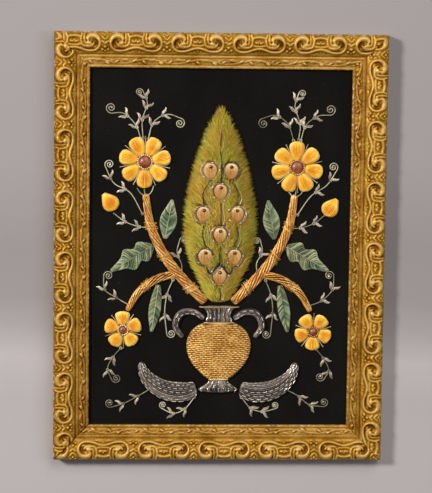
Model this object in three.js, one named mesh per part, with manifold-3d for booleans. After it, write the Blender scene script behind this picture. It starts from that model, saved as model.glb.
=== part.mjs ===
// A framed embroidery: padded goldwork and silk motifs on a black velvet panel, held in a carved gilt moulding.
// Millimetres. The picture lies on its back: X runs across it, Y runs up it and Z comes out of its face.
import * as THREE from "three";
import { mergeVertices } from "three/addons/utils/BufferGeometryUtils.js";
import Module from "manifold-3d";

const wasm = await Module();
wasm.setup();

// Frame
const FRAME_WIDTH = 320;
const FRAME_HEIGHT = 414;
const RAIL_WIDTH = 34;
const REBATE_WIDTH = 6;
const LIP_UNDERSIDE = 7.6;
const MITRE_GAP = 0.3;

// Layers behind the sight edge
const CLEARANCE = 0.3;
const BOARD_RECESS = 2;
const BOARD_THICKNESS = 3;
const VELVET_THICKNESS = 2;
const BOARD_TOP = BOARD_RECESS + BOARD_THICKNESS;
const VELVET_TOP = BOARD_TOP + CLEARANCE + VELVET_THICKNESS;
const MOTIF_BASE = VELVET_TOP + CLEARANCE;

// The moulding's top from its outer edge inwards. carved is the share of the ornament that a row carries.
const CARVED_ROWS = [
  { across: 0, height: 14.5, carved: 0 },
  { across: 2, height: 16.6, carved: 0.8 },
  { across: 4.8, height: 18.1, carved: 1 },
  { across: 7.6, height: 18.7, carved: 1 },
  { across: 10.4, height: 18.2, carved: 1 },
  { across: 13.2, height: 16.9, carved: 1 },
  { across: 16, height: 15.0, carved: 1 },
  { across: 18.8, height: 13.1, carved: 0.7 },
  { across: 22.2, height: 12.4, carved: 0 },
];
const PLAIN_ROWS = [
  { across: 22.2, height: 11.7 },
  { across: 23, height: 11.7 },
  { across: 23, height: 12.6 },
  { across: 31.2, height: 11.0 },
  { across: 32.4, height: 11.4 },
  { across: RAIL_WIDTH, height: 10.2 },
  { across: RAIL_WIDTH, height: LIP_UNDERSIDE },
  { across: RAIL_WIDTH - REBATE_WIDTH, height: LIP_UNDERSIDE },
  { across: RAIL_WIDTH - REBATE_WIDTH, height: 0 },
  { across: 0, height: 0 },
];

// The ornament repeats along the moulding: a tab between two scrolls, mirrored about the tab's middle.
const REPEAT = 58.7;
const CARVED_STATIONS = [0, 5, 6.9, 8.3, 10.4, 12.8, 15.5, 18, 20.6, 22.7, 25.2, REPEAT / 2];
const SCROLL = { along: 15.5, across: 9.6, radius: 7.2, ridge: 1.9, rise: 2.7 };
const SCROLL_BALL = { along: 15.8, across: 4.0, radius: 3.6, rise: 1.2 };
const SCROLL_EYE = { along: 12.8, across: 9.8, radius: 2.6, rise: 1.9 };
const TAB = { halfWidth: 5.6, length: 12.0, softness: 1.3, rise: 1.4 };
const WAVE = { across: 16.2, swing: 1.6, ridge: 1.5, rise: 1.4, reach: 15.5 };

// first is the distance of one tab from the rail's left end, seen from outside the frame.
const RAILS = [
  { name: "rail_bottom", length: FRAME_WIDTH, turn: 0, first: 48.7 },
  { name: "rail_right", length: FRAME_HEIGHT, turn: 1, first: 13.2 },
  { name: "rail_top", length: FRAME_WIDTH, turn: 2, first: 7.4 },
  { name: "rail_left", length: FRAME_HEIGHT, turn: 3, first: 0.5 },
];

// Rows of a padded motif: its centre line and half width, from one end to the other.
const URN_FOOT = [
  { x: 0, y: -141, half: 19 },
  { x: 0, y: -137, half: 17.5 },
  { x: 0, y: -132, half: 10 },
  { x: 0, y: -128.6, half: 9 },
];
const URN_BOWL = [
  { x: 0, y: -128, half: 9 },
  { x: 0, y: -120, half: 18 },
  { x: 0, y: -108, half: 27 },
  { x: 0, y: -94, half: 30 },
  { x: 0, y: -82, half: 26 },
  { x: 0, y: -73, half: 16 },
];
const URN_NECK = [
  { x: 0, y: -72.4, half: 14 },
  { x: 0, y: -66, half: 10.5 },
  { x: 0, y: -60, half: 12.5 },
  { x: 0, y: -56, half: 18 },
];
const CYPRESS = [
  { x: 0, y: -53, half: 7 },
  { x: 0, y: -36, half: 15 },
  { x: 0, y: -12, half: 26 },
  { x: 0, y: 16, half: 30.5 },
  { x: 0, y: 46, half: 28 },
  { x: 0, y: 76, half: 21.5 },
  { x: 0, y: 104, half: 12.5 },
  { x: 0, y: 132, half: 1.2 },
];
const URN_HANDLE = [
  { x: 14.6, y: -68.8, half: 1.6 },
  { x: 25, y: -62.5, half: 2.3 },
  { x: 37, y: -64, half: 2.6 },
  { x: 42, y: -76, half: 2.4 },
  { x: 35, y: -87, half: 1.5 },
];
const BASE_SCROLL = [
  { x: 21.5, y: -137, half: 6 },
  { x: 36, y: -141, half: 9 },
  { x: 54, y: -138, half: 8.5 },
  { x: 69, y: -127, half: 6 },
  { x: 76, y: -112, half: 1.6 },
];
const STEM = [
  { x: 13.4, y: -52.6, half: 3.4 },
  { x: 32, y: -34, half: 4.2 },
  { x: 53, y: -8, half: 4.0 },
  { x: 67, y: 22, half: 3.4 },
  { x: 72, y: 52, half: 2.4 },
];
const LOW_STEM = [
  { x: 40, y: -25, half: 2.6 },
  { x: 60, y: -30, half: 3.2 },
  { x: 78, y: -43, half: 2.8 },
  { x: 89, y: -61, half: 1.8 },
];
const PETAL = [
  { reach: 0, half: 0.34 },
  { reach: 0.3, half: 0.72 },
  { reach: 0.68, half: 1 },
  { reach: 0.9, half: 0.78 },
  { reach: 1, half: 0.3 },
];
const LOBED_LEAF = [
  { reach: 0, half: 0.16 },
  { reach: 0.22, half: 0.94 },
  { reach: 0.36, half: 0.6 },
  { reach: 0.55, half: 1 },
  { reach: 0.7, half: 0.48 },
  { reach: 1, half: 0.08 },
];
const SLENDER_LEAF = [
  { reach: 0, half: 0.3 },
  { reach: 0.3, half: 0.9 },
  { reach: 0.62, half: 1 },
  { reach: 1, half: 0.12 },
];
const BUD = [
  { reach: 0, half: 0.45 },
  { reach: 0.22, half: 0.95 },
  { reach: 0.5, half: 1 },
  { reach: 1, half: 0.12 },
];
const PEAR = [
  { reach: 0, half: 0.3 },
  { reach: 0.3, half: 0.86 },
  { reach: 0.66, half: 1 },
  { reach: 1, half: 0.42 },
];

// Where the repeated motifs lie. Angles are in degrees from the X axis.
const FLOWERS = [
  { name: "flower_left", x: -73, y: 83, petals: 7, heart: 6.6, reach: 25, turn: 12 },
  { name: "flower_right", x: 74, y: 79, petals: 7, heart: 6.6, reach: 25, turn: 40 },
  { name: "blossom_left", x: -93, y: -80, petals: 5, heart: 4.6, reach: 18, turn: 20 },
  { name: "blossom_right", x: 92, y: -81, petals: 5, heart: 4.6, reach: 18, turn: 52 },
];
const LEAVES = [
  { name: "leaf_left_high", shape: LOBED_LEAF, x: -65, y: 2, angle: 212, length: 47, half: 10.5 },
  { name: "leaf_right_high", shape: LOBED_LEAF, x: 65, y: 2, angle: -30, length: 47, half: 10.5 },
  { name: "leaf_left_low", shape: SLENDER_LEAF, x: -59, y: -36, angle: 262, length: 46, half: 4.8 },
  { name: "leaf_right_low", shape: SLENDER_LEAF, x: 59, y: -36, angle: -80, length: 46, half: 4.8 },
];
const BUDS = [
  { name: "bud_left", shape: BUD, x: -101, y: 37, angle: 128, length: 19, half: 6.6 },
  { name: "bud_right", shape: BUD, x: 102, y: 33, angle: 54, length: 19, half: 6.6 },
];
const FRUIT_ROWS = [
  { y: -27, apart: 0 },
  { y: -8, apart: 14 },
  { y: 13, apart: 0 },
  { y: 33, apart: 16 },
  { y: 55, apart: 0 },
  { y: 75, apart: 10 },
];
const FRUIT_LENGTH = 17;
const FRUIT_HALF = 6.4;
const POCKET_FLOOR = 1.6;
const POCKET_MARGIN = 0.45;
const PETAL_SHARE = 0.9;

const WOOD = new THREE.MeshStandardMaterial({ color: 0xb88a35, roughness: 0.42, metalness: 0.6 });
const BOARD = new THREE.MeshStandardMaterial({ color: 0x7a5a3a, roughness: 0.9, metalness: 0 });
const VELVET = new THREE.MeshStandardMaterial({ color: 0x0d0c0e, roughness: 1, metalness: 0 });
const GOLD_CORD = new THREE.MeshStandardMaterial({ color: 0xc99a45, roughness: 0.45, metalness: 0.5 });
const SLATE_THREAD = new THREE.MeshStandardMaterial({ color: 0x6d6577, roughness: 0.5, metalness: 0.4 });
const GREEN_SILK = new THREE.MeshStandardMaterial({ color: 0x8c8a2e, roughness: 0.8, metalness: 0 });
const PEACH_SILK = new THREE.MeshStandardMaterial({ color: 0xd9a676, roughness: 0.5, metalness: 0 });
const AMBER_CORD = new THREE.MeshStandardMaterial({ color: 0xc98a2e, roughness: 0.5, metalness: 0.2 });
const YELLOW_SILK = new THREE.MeshStandardMaterial({ color: 0xe8ad2e, roughness: 0.5, metalness: 0 });
const GARNET = new THREE.MeshStandardMaterial({ color: 0x6e2c22, roughness: 0.2, metalness: 0 });
const SAGE_SILK = new THREE.MeshStandardMaterial({ color: 0x5d7a5c, roughness: 0.6, metalness: 0 });

const root = new THREE.Group();

function solidOf(geometry) {
  const bare = geometry.clone();
  bare.deleteAttribute("normal");
  bare.deleteAttribute("uv");
  const merged = mergeVertices(bare, 1e-4);
  return new wasm.Manifold(
    new wasm.Mesh({
      numProp: 3,
      vertProperties: merged.attributes.position.array,
      triVerts: new Uint32Array(merged.index.array),
    }),
  );
}

function geometryOf(solid) {
  const mesh = solid.getMesh();
  const geometry = new THREE.BufferGeometry();
  geometry.setAttribute("position", new THREE.BufferAttribute(new Float32Array(mesh.vertProperties), 3));
  geometry.setIndex(new THREE.BufferAttribute(new Uint32Array(mesh.triVerts), 1));
  geometry.computeVertexNormals();
  return geometry;
}

function addMesh(name, geometry, material, parent = root) {
  const mesh = new THREE.Mesh(geometry, material);
  mesh.name = name;
  parent.add(mesh);
  return mesh;
}

// A closed geometry from equal loops of points, each convex and closed at the ends with a fan.
function loft(loops) {
  const count = loops[0].length;
  const last = (loops.length - 1) * count;
  const faces = [];
  for (let i = 0; i + 1 < loops.length; i++) {
    for (let k = 0; k < count; k++) {
      const a = i * count + k;
      const b = i * count + ((k + 1) % count);
      faces.push(a, b, a + count, b, b + count, a + count);
    }
  }
  for (let k = 1; k + 1 < count; k++) faces.push(k + 1, k, 0, last, last + k, last + k + 1);
  const geometry = new THREE.BufferGeometry();
  geometry.setAttribute("position", new THREE.Float32BufferAttribute(loops.flat(2), 3));
  geometry.setIndex(faces);
  return geometry;
}

function bump(distance, width) {
  return Math.exp(-((distance / width) ** 2));
}

// Height of the carved ornament above the plain moulding.
function ornament(fromTab, across) {
  const along = Math.abs(fromTab);
  const near = (spot) => Math.hypot(along - spot.along, across - spot.across);
  const scroll = SCROLL.rise * bump(near(SCROLL) - SCROLL.radius, SCROLL.ridge);
  const ball = SCROLL_BALL.rise * bump(near(SCROLL_BALL), SCROLL_BALL.radius);
  const eye = SCROLL_EYE.rise * bump(near(SCROLL_EYE), SCROLL_EYE.radius);
  const beyondTab = Math.max(along - TAB.halfWidth, across - TAB.length, 0);
  const tab = TAB.rise * bump(beyondTab, TAB.softness);
  const wave = WAVE.across + WAVE.swing * -Math.cos((Math.PI * along) / WAVE.reach);
  const ribbon = along < WAVE.reach ? WAVE.rise * bump(across - wave, WAVE.ridge) : 0;
  return Math.max(scroll, tab, ribbon, eye) + ball;
}

// Triangles between two lines of points along X, which may have different numbers of points.
function zip(lower, upper, faces) {
  let i = 0;
  let j = 0;
  while (i + 1 < lower.length || j + 1 < upper.length) {
    const lowerNext = i + 1 < lower.length ? lower[i + 1].x : Infinity;
    const upperNext = j + 1 < upper.length ? upper[j + 1].x : Infinity;
    if (lowerNext <= upperNext) {
      faces.push(lower[i].index, lower[i + 1].index, upper[j].index);
      i += 1;
    } else {
      faces.push(lower[i].index, upper[j + 1].index, upper[j].index);
      j += 1;
    }
  }
}

// Where the carved rows have points: both ends, and the same stations about every tab.
function stations({ length, first }) {
  const mirror = CARVED_STATIONS.slice(1, -1).map((along) => -along);
  const inside = [];
  for (let tab = first - REPEAT; tab < length + REPEAT; tab += REPEAT) {
    for (const along of [...mirror, ...CARVED_STATIONS]) inside.push(tab + along);
  }
  inside.sort((a, b) => a - b);
  return [0, ...inside.filter((x) => x > 1 && x < length - 1), length];
}

// One length of moulding along X, with its outer edge at Y 0, cut at 45 degrees at both ends.
// Only the carved rows have points between their ends.
function rail({ length, first }) {
  const carvedAt = stations({ length, first });
  const positions = [];
  const line = (row, at) =>
    at.map((x) => {
      const fromTab = ((x - first + 10.5 * REPEAT) % REPEAT) - REPEAT / 2;
      const carving = row.carved ? row.carved * ornament(fromTab, row.across) : 0;
      positions.push(x, row.across, row.height + carving);
      return { x, index: positions.length / 3 - 1 };
    });
  const lines = [
    ...CARVED_ROWS.map((row) => line(row, carvedAt)),
    ...PLAIN_ROWS.map((row) => line(row, [0, length])),
  ];
  const faces = [];
  lines.forEach((points, k) => zip(points, lines[(k + 1) % lines.length], faces));

  const section = [...CARVED_ROWS, ...PLAIN_ROWS].map((row) => new THREE.Vector2(row.across, row.height));
  for (const [a, b, c] of THREE.ShapeUtils.triangulateShape(section, [])) {
    faces.push(lines[c][0].index, lines[b][0].index, lines[a][0].index);
    faces.push(lines[a].at(-1).index, lines[b].at(-1).index, lines[c].at(-1).index);
  }
  const bar = new THREE.BufferGeometry();
  bar.setAttribute("position", new THREE.Float32BufferAttribute(positions, 3));
  bar.setIndex(faces);
  return geometryOf(solidOf(bar).intersect(solidOf(mitreWedge(length))));
}

function mitreWedge(length) {
  const margin = 1;
  const inset = (MITRE_GAP / 2) * Math.SQRT2;
  const low = -margin;
  const high = RAIL_WIDTH + margin;
  const outline = new THREE.Shape([
    new THREE.Vector2(low + inset, low),
    new THREE.Vector2(length - low - inset, low),
    new THREE.Vector2(length - high - inset, high),
    new THREE.Vector2(high + inset, high),
  ]);
  const depth = 40;
  return new THREE.ExtrudeGeometry(outline, { depth, bevelEnabled: false }).translate(0, 0, -margin);
}

// Each rail is turned a further quarter about the picture's middle, so its outer edge faces outwards.
function addRails() {
  for (const spec of RAILS) {
    const across = spec.turn % 2 ? FRAME_WIDTH : FRAME_HEIGHT;
    const side = new THREE.Group();
    side.rotation.z = (spec.turn * Math.PI) / 2;
    const mesh = addMesh(spec.name, rail(spec), WOOD, side);
    mesh.position.set(-spec.length / 2, -across / 2, 0);
    root.add(side);
  }
}

function addLayers() {
  const width = FRAME_WIDTH - 2 * (RAIL_WIDTH - REBATE_WIDTH + CLEARANCE);
  const height = FRAME_HEIGHT - 2 * (RAIL_WIDTH - REBATE_WIDTH + CLEARANCE);
  const board = addMesh("back_board", new THREE.BoxGeometry(width, height, BOARD_THICKNESS), BOARD);
  board.position.z = BOARD_TOP - BOARD_THICKNESS / 2;
  const velvet = addMesh("velvet_ground", new THREE.BoxGeometry(width, height, VELVET_THICKNESS), VELVET);
  velvet.position.z = VELVET_TOP - VELVET_THICKNESS / 2;
}

const EDGE_RISE = 0.7;
const DOME = [
  { side: -1, rise: 0 },
  { side: -0.62, rise: 0.76 },
  { side: 0, rise: 1 },
  { side: 0.62, rise: 0.76 },
  { side: 1, rise: 0 },
];

// A domed pad over a flat base. Its crown sinks where the pad is narrow.
function pad(rows, crown, steps, base = MOTIF_BASE) {
  const line = new THREE.CatmullRomCurve3(rows.map((r) => new THREE.Vector3(r.x, r.y, r.half)));
  const widest = Math.max(...rows.map((r) => r.half));
  const loops = [];
  for (let i = 0; i <= steps; i++) {
    const at = line.getPoint(i / steps);
    const along = line.getTangent(i / steps).setZ(0).normalize();
    const spot = (side, z) => [at.x + along.y * side * at.z, at.y - along.x * side * at.z, z];
    const lift = crown * Math.sqrt(Math.min(1, at.z / widest));
    const top = DOME.map(({ side, rise }) => spot(side, base + EDGE_RISE + lift * rise));
    loops.push([spot(1, base), spot(-1, base), ...top]);
  }
  return loft(loops);
}

// Rows of a motif that grows from (x, y) in the direction angle.
function grown({ shape, x, y, angle, length, half }) {
  const turn = THREE.MathUtils.degToRad(angle);
  return shape.map((row) => ({
    x: x + Math.cos(turn) * row.reach * length,
    y: y + Math.sin(turn) * row.reach * length,
    half: row.half * half,
  }));
}

function mirrored(rows) {
  return rows.map((row) => ({ ...row, x: -row.x }));
}

function addUrn() {
  addMesh("urn_foot", pad(URN_FOOT, 3, 6), SLATE_THREAD);
  addMesh("urn_bowl", pad(URN_BOWL, 4.4, 12), GOLD_CORD);
  addMesh("urn_neck", pad(URN_NECK, 3, 7), SLATE_THREAD);
  addMesh("urn_handle_right", pad(URN_HANDLE, 2, 12), SLATE_THREAD);
  addMesh("urn_handle_left", pad(mirrored(URN_HANDLE), 2, 12), SLATE_THREAD);
  addMesh("base_scroll_right", pad(BASE_SCROLL, 3, 10), SLATE_THREAD);
  addMesh("base_scroll_left", pad(mirrored(BASE_SCROLL), 3, 10), SLATE_THREAD);
}

function fruitRows(x, y, margin) {
  return grown({
    shape: PEAR,
    x,
    y: y - FRUIT_LENGTH / 2 - margin,
    angle: 90,
    length: FRUIT_LENGTH + 2 * margin,
    half: FRUIT_HALF + margin,
  });
}

// The cypress has a pocket for each fruit, and the fruit sits in it with a clearance all round.
function addCypress() {
  let cypress = solidOf(pad(CYPRESS, 3.4, 20));
  const floor = MOTIF_BASE + POCKET_FLOOR;
  let number = 0;
  for (const { y, apart } of FRUIT_ROWS) {
    for (const x of apart ? [-apart, apart] : [0]) {
      number += 1;
      const pocket = pad(fruitRows(x, y, POCKET_MARGIN), 40, 6, floor);
      cypress = cypress.subtract(solidOf(pocket));
      addMesh(`fruit_${number}`, pad(fruitRows(x, y, 0), 2.8, 6, floor + CLEARANCE), PEACH_SILK);
    }
  }
  addMesh("cypress", geometryOf(cypress), GREEN_SILK);
}

function addStems() {
  const right = solidOf(pad(STEM, 2.2, 12)).add(solidOf(pad(LOW_STEM, 1.8, 8)));
  const left = solidOf(pad(mirrored(STEM), 2.2, 12)).add(solidOf(pad(mirrored(LOW_STEM), 1.8, 8)));
  addMesh("stem_right", geometryOf(right), AMBER_CORD);
  addMesh("stem_left", geometryOf(left), AMBER_CORD);
}

function heart(radius) {
  const crown = 4;
  const outline = [
    [0, 0],
    [radius, 0],
    [radius, EDGE_RISE],
    [radius * 0.7, EDGE_RISE + crown * 0.7],
    [0, EDGE_RISE + crown],
  ];
  const points = outline.map(([r, z]) => new THREE.Vector2(r, z));
  return new THREE.LatheGeometry(points, 12).rotateX(Math.PI / 2);
}

function addFlower({ name, x, y, petals, heart: radius, reach, turn }) {
  const centre = addMesh(`${name}_heart`, heart(radius), GARNET);
  centre.position.set(x, y, MOTIF_BASE);
  const inner = radius + CLEARANCE;
  const widestAt = inner + 0.68 * (reach - inner);
  const half = PETAL_SHARE * widestAt * Math.sin(Math.PI / petals) - CLEARANCE;
  for (let i = 0; i < petals; i++) {
    const angle = turn + (360 * i) / petals;
    const out = THREE.MathUtils.degToRad(angle);
    const from = { x: x + Math.cos(out) * inner, y: y + Math.sin(out) * inner };
    const rows = grown({ shape: PETAL, ...from, angle, length: reach - inner, half });
    addMesh(`${name}_petal_${i + 1}`, pad(rows, 2.6, 6), YELLOW_SILK);
  }
}

function addLeavesAndBuds() {
  for (const leaf of LEAVES) addMesh(leaf.name, pad(grown(leaf), 1.4, 8), SAGE_SILK);
  for (const bud of BUDS) addMesh(bud.name, pad(grown(bud), 2.6, 6), YELLOW_SILK);
}

addRails();
addLayers();
addUrn();
addCypress();
addStems();
FLOWERS.forEach(addFlower);
addLeavesAndBuds();

export default root;
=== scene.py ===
# %% [markdown]
# # Framed goldwork embroidery
#
# The object is a padded embroidery in metal thread and silk on black velvet, in a gilt carved frame. It
# lies on its back, so X runs across the picture, Y up it and Z out of its face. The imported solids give
# every piece its place. Here each one gets its real surface: carving, gilding, nap, laid threads, silk
# pile, wire and beads.
#
# All sizes below are millimetres, and `MM` turns them into Blender's metres.

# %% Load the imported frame
import math

import bpy
import numpy as np
from mathutils import Matrix, Vector


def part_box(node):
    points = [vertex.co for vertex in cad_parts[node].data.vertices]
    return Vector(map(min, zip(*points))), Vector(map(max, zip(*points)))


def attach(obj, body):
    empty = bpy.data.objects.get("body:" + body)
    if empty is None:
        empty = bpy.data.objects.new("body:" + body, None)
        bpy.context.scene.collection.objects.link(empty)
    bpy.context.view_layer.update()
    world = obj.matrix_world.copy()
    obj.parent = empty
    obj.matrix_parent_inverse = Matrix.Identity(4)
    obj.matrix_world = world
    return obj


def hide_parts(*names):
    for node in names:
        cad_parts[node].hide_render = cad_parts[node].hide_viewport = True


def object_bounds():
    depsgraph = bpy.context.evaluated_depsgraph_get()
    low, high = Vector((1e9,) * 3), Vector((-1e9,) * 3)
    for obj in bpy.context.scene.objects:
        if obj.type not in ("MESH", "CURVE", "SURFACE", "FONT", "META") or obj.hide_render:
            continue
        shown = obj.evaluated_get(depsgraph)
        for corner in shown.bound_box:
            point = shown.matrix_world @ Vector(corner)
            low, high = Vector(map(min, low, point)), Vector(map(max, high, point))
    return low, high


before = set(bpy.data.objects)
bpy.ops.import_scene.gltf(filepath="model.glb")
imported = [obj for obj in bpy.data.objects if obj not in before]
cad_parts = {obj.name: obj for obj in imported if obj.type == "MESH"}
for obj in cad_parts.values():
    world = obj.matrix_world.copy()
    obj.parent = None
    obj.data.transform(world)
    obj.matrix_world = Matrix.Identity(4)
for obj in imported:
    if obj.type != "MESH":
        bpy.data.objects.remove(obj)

cad_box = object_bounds()
MM = 0.001
print("CAD box in mm:", [[round(c / MM, 1) for c in corner] for corner in cad_box])

# %% [markdown]
# ## Camera
#
# The picture was photographed from nearly straight in front with a long lens, a little above and to the
# left. The frame's eight corners fix that view, so the camera is written as a place and two axes. A long
# lens keeps the frame almost free of perspective, which a camera close by would not.

# %% Camera
CAMERA_PLACE = Vector((-93.6, 178.2, 1759.8)) * MM
CAMERA_RIGHT = Vector((0.99867, 0.01183, 0.05011))
CAMERA_UP = Vector((-0.00674, 0.99491, -0.10058))
FOCAL_LENGTH_PIXELS = 1822
PHOTO_LONG_SIDE_PIXELS = 493
SENSOR_WIDTH = 36


def make_camera():
    camera = bpy.data.objects.new("camera", bpy.data.cameras.new("camera"))
    bpy.context.scene.collection.objects.link(camera)
    camera.data.sensor_width = SENSOR_WIDTH
    camera.data.lens = SENSOR_WIDTH * FOCAL_LENGTH_PIXELS / PHOTO_LONG_SIDE_PIXELS
    camera.data.clip_end = 20
    back = CAMERA_RIGHT.cross(CAMERA_UP).normalized()
    up = back.cross(CAMERA_RIGHT).normalized()
    turn = Matrix((CAMERA_RIGHT.normalized(), up, back)).transposed()
    camera.matrix_world = Matrix.Translation(CAMERA_PLACE) @ turn.to_4x4()
    bpy.context.scene.camera = camera
    print("lens", round(camera.data.lens, 1), "mm")


make_camera()

# %% [markdown]
# ## Helpers for node trees
#
# Materials and Geometry Nodes are both graphs, and one small function can build either. It adds a node,
# sets its options, and feeds each input with a number or with another node's output.


# %% Node helpers
def add_node(tree, kind, inputs=(), **options):
    """A new node. inputs maps an input's name or number to a value, or to the output that feeds it."""
    node = tree.nodes.new(kind)
    for option, value in options.items():
        setattr(node, option, value)
    for key, value in dict(inputs).items():
        if isinstance(value, bpy.types.NodeSocket):
            tree.links.new(value, node.inputs[key])
        else:
            node.inputs[key].default_value = value
    return node


def math_node(tree, operation, first, second=0.0):
    return add_node(tree, "ShaderNodeMath", {0: first, 1: second}, operation=operation).outputs[0]


def linear(red, green, blue):
    """A colour as a screen shows it, from 0 to 255, in the linear light that shaders want."""
    shown = np.array([red, green, blue]) / 255
    light = np.where(shown <= 0.04045, shown / 12.92, ((shown + 0.055) / 1.055) ** 2.4)
    return (*light.tolist(), 1.0)


print("a mid grey on the screen is", round(linear(128, 128, 128)[0], 3), "in linear light")

# %% [markdown]
# ## Helpers for materials
#
# Every finish starts from Blender's Principled shader. Its constant numbers go straight on the shader, and
# colour, roughness and bump come from patterns. Patterns read Object coordinates, which are metres here,
# so a noise scale of 1000 makes features about a millimetre across.


# %% Material helpers
def new_finish(name, **constants):
    """A material with a Principled shader, its tree, and the shader node."""
    material = bpy.data.materials.new(name)
    material.use_nodes = True
    shader = material.node_tree.nodes["Principled BSDF"]
    for key, value in constants.items():
        shader.inputs[key.replace("_", " ")].default_value = value
    print("finish", name)
    return material, material.node_tree, shader


def place_of(tree, stretch=(1, 1, 1)):
    coordinates = add_node(tree, "ShaderNodeTexCoord").outputs["Object"]
    return add_node(tree, "ShaderNodeMapping", {"Vector": coordinates, "Scale": stretch}).outputs[0]


def noise(tree, scale, detail=3.0, stretch=(1, 1, 1)):
    inputs = {"Vector": place_of(tree, stretch), "Scale": scale, "Detail": detail, "Roughness": 0.55}
    return add_node(tree, "ShaderNodeTexNoise", inputs).outputs["Fac"]


def ramp(tree, factor, *stops):
    """Colours along a factor. Each stop is a place from 0 to 1 and a linear colour."""
    node = add_node(tree, "ShaderNodeValToRGB", {"Fac": factor})
    elements = node.color_ramp.elements
    while len(elements) < len(stops):
        elements.new(0.5)
    for element, (place, colour) in zip(elements, stops):
        element.position = place
        element.color = colour
    return node.outputs["Color"]


def spread(tree, value, low, high, new_low=0.0, new_high=1.0):
    inputs = {"Value": value, "From Min": low, "From Max": high, "To Min": new_low, "To Max": new_high}
    return add_node(tree, "ShaderNodeMapRange", inputs).outputs["Result"]


def blend_colours(tree, factor, first, second):
    """One colour over another, by a factor."""
    return add_node(tree, "ShaderNodeMix", {0: factor, 6: first, 7: second}, data_type="RGBA").outputs[2]


def attribute(tree, name):
    return add_node(tree, "ShaderNodeAttribute", attribute_name=name).outputs["Fac"]


def bump(tree, shader, height, depth_mm, strength=1.0):
    inputs = {"Height": height, "Distance": depth_mm * MM, "Strength": strength}
    node = add_node(tree, "ShaderNodeBump", inputs)
    tree.links.new(node.outputs["Normal"], shader.inputs["Normal"])


# %% [markdown]
# ## Helpers for meshes
#
# Most pieces here are grids of points worked out with numpy and turned into a mesh in one go, which is far
# quicker than adding faces one by one. A mesh may also carry loose edges: the lines that threads and wires
# will follow.


# %% Mesh helpers
def make_object(name, points, faces=(), edges=(), values=None, material=None):
    """An object at the origin from points in millimetres. values holds named numbers for each point."""
    mesh = bpy.data.meshes.new(name)
    points = np.asarray(points, float).reshape(-1, 3) * MM
    mesh.from_pydata(points.tolist(), [list(e) for e in edges], [list(f) for f in faces])
    for key, numbers in (values or {}).items():
        numbers = np.asarray(numbers, np.float32)
        is_vector = numbers.size == 3 * len(points)
        layer = mesh.attributes.new(key, "FLOAT_VECTOR" if is_vector else "FLOAT", "POINT")
        layer.data.foreach_set("vector" if is_vector else "value", numbers.ravel())
    mesh.polygons.foreach_set("use_smooth", [True] * len(mesh.polygons))
    made = bpy.data.objects.new(name, mesh)
    bpy.context.scene.collection.objects.link(made)
    if material:
        mesh.materials.append(material)
    return made


def grid_faces(rows, columns, start=0, closed=False):
    """Quads over rows of equal length, which close on themselves if asked."""
    spans = columns if closed else columns - 1
    i, j = np.meshgrid(np.arange(rows - 1), np.arange(spans), indexing="ij")
    a = start + i * columns + j
    b = start + i * columns + (j + 1) % columns
    return np.stack([a, b, b + columns, a + columns], axis=-1).reshape(-1, 4)


def seat(piece, slot, *nodes):
    """The piece rides on the object and stands for the CAD nodes that are named; its slot is not used."""
    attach(piece, "root")
    if nodes:
        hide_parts(*nodes)
    print(f"{piece.name}: {sum(len(p.vertices) - 2 for p in piece.data.polygons)} triangles")
    return piece


# %% [markdown]
# ## Helpers for lines
#
# A carver's rib and an embroiderer's thread both follow a drawn line. A few listed points give the
# line's shape, and a Catmull-Rom curve, which passes through every one of them, makes it smooth.


# %% Line helpers
def smooth_line(points, per_span=8):
    """A curve through the points, as a row of points close together."""
    p = np.asarray(points, float)
    p = np.vstack([2 * p[0] - p[1], p, 2 * p[-1] - p[-2]])
    t = np.linspace(0, 1, per_span, endpoint=False)[:, None]
    made = []
    for a, b, c, d in zip(p, p[1:], p[2:], p[3:]):
        made.append(b + t / 2 * (c - a + t * (2 * a - 5 * b + 4 * c - d + t * (3 * (b - c) + d - a))))
    return np.vstack([*made, p[-2:-1]])


def even_line(points, spacing):
    """The same line with its points the same distance apart."""
    points = np.asarray(points, float)
    along = np.concatenate([[0], np.cumsum(np.linalg.norm(np.diff(points, axis=0), axis=1))])
    places = np.linspace(0, along[-1], max(2, round(along[-1] / spacing) + 1))
    return np.stack([np.interp(places, along, column) for column in points.T], axis=1)


def heading_of(turn):
    """The direction at an angle in degrees, counted from X towards Y."""
    return np.array([math.cos(math.radians(turn)), math.sin(math.radians(turn))])


print("three points make a line of", len(smooth_line([(0, 0), (1, 1), (2, 0)])), "points")

# %% [markdown]
# ## The carved moulding
#
# The rails are cut from one length of moulding whose ornament was pressed or carved and repeats about
# every 59 mm: a square tab with a rosette, and on each side a scroll whose ribbon wraps round a drop
# before it sweeps over to the other side. Inside that run a cove, a plain fillet, a vine with small
# leaves, and a smooth sight edge.
#
# A relief like this is a height over a flat strip, so it can be worked out as a height map: each ribbon is
# a line, and its height falls off with the distance from that line. That gives real geometry that catches
# the light at the edges, where a bump map would look flat from the side.

# %% Sizes of the moulding
FRAME_WIDTH = (cad_box[1].x - cad_box[0].x) / MM
FRAME_HEIGHT = (cad_box[1].y - cad_box[0].y) / MM
rail_low, rail_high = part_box("rail_bottom")
RAIL_WIDTH = (rail_high.y - rail_low.y) / MM
REBATE_WIDTH = 6
LIP_UNDERSIDE = 7.6
REPEAT = 58.7
HALF_REPEAT = REPEAT / 2
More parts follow.
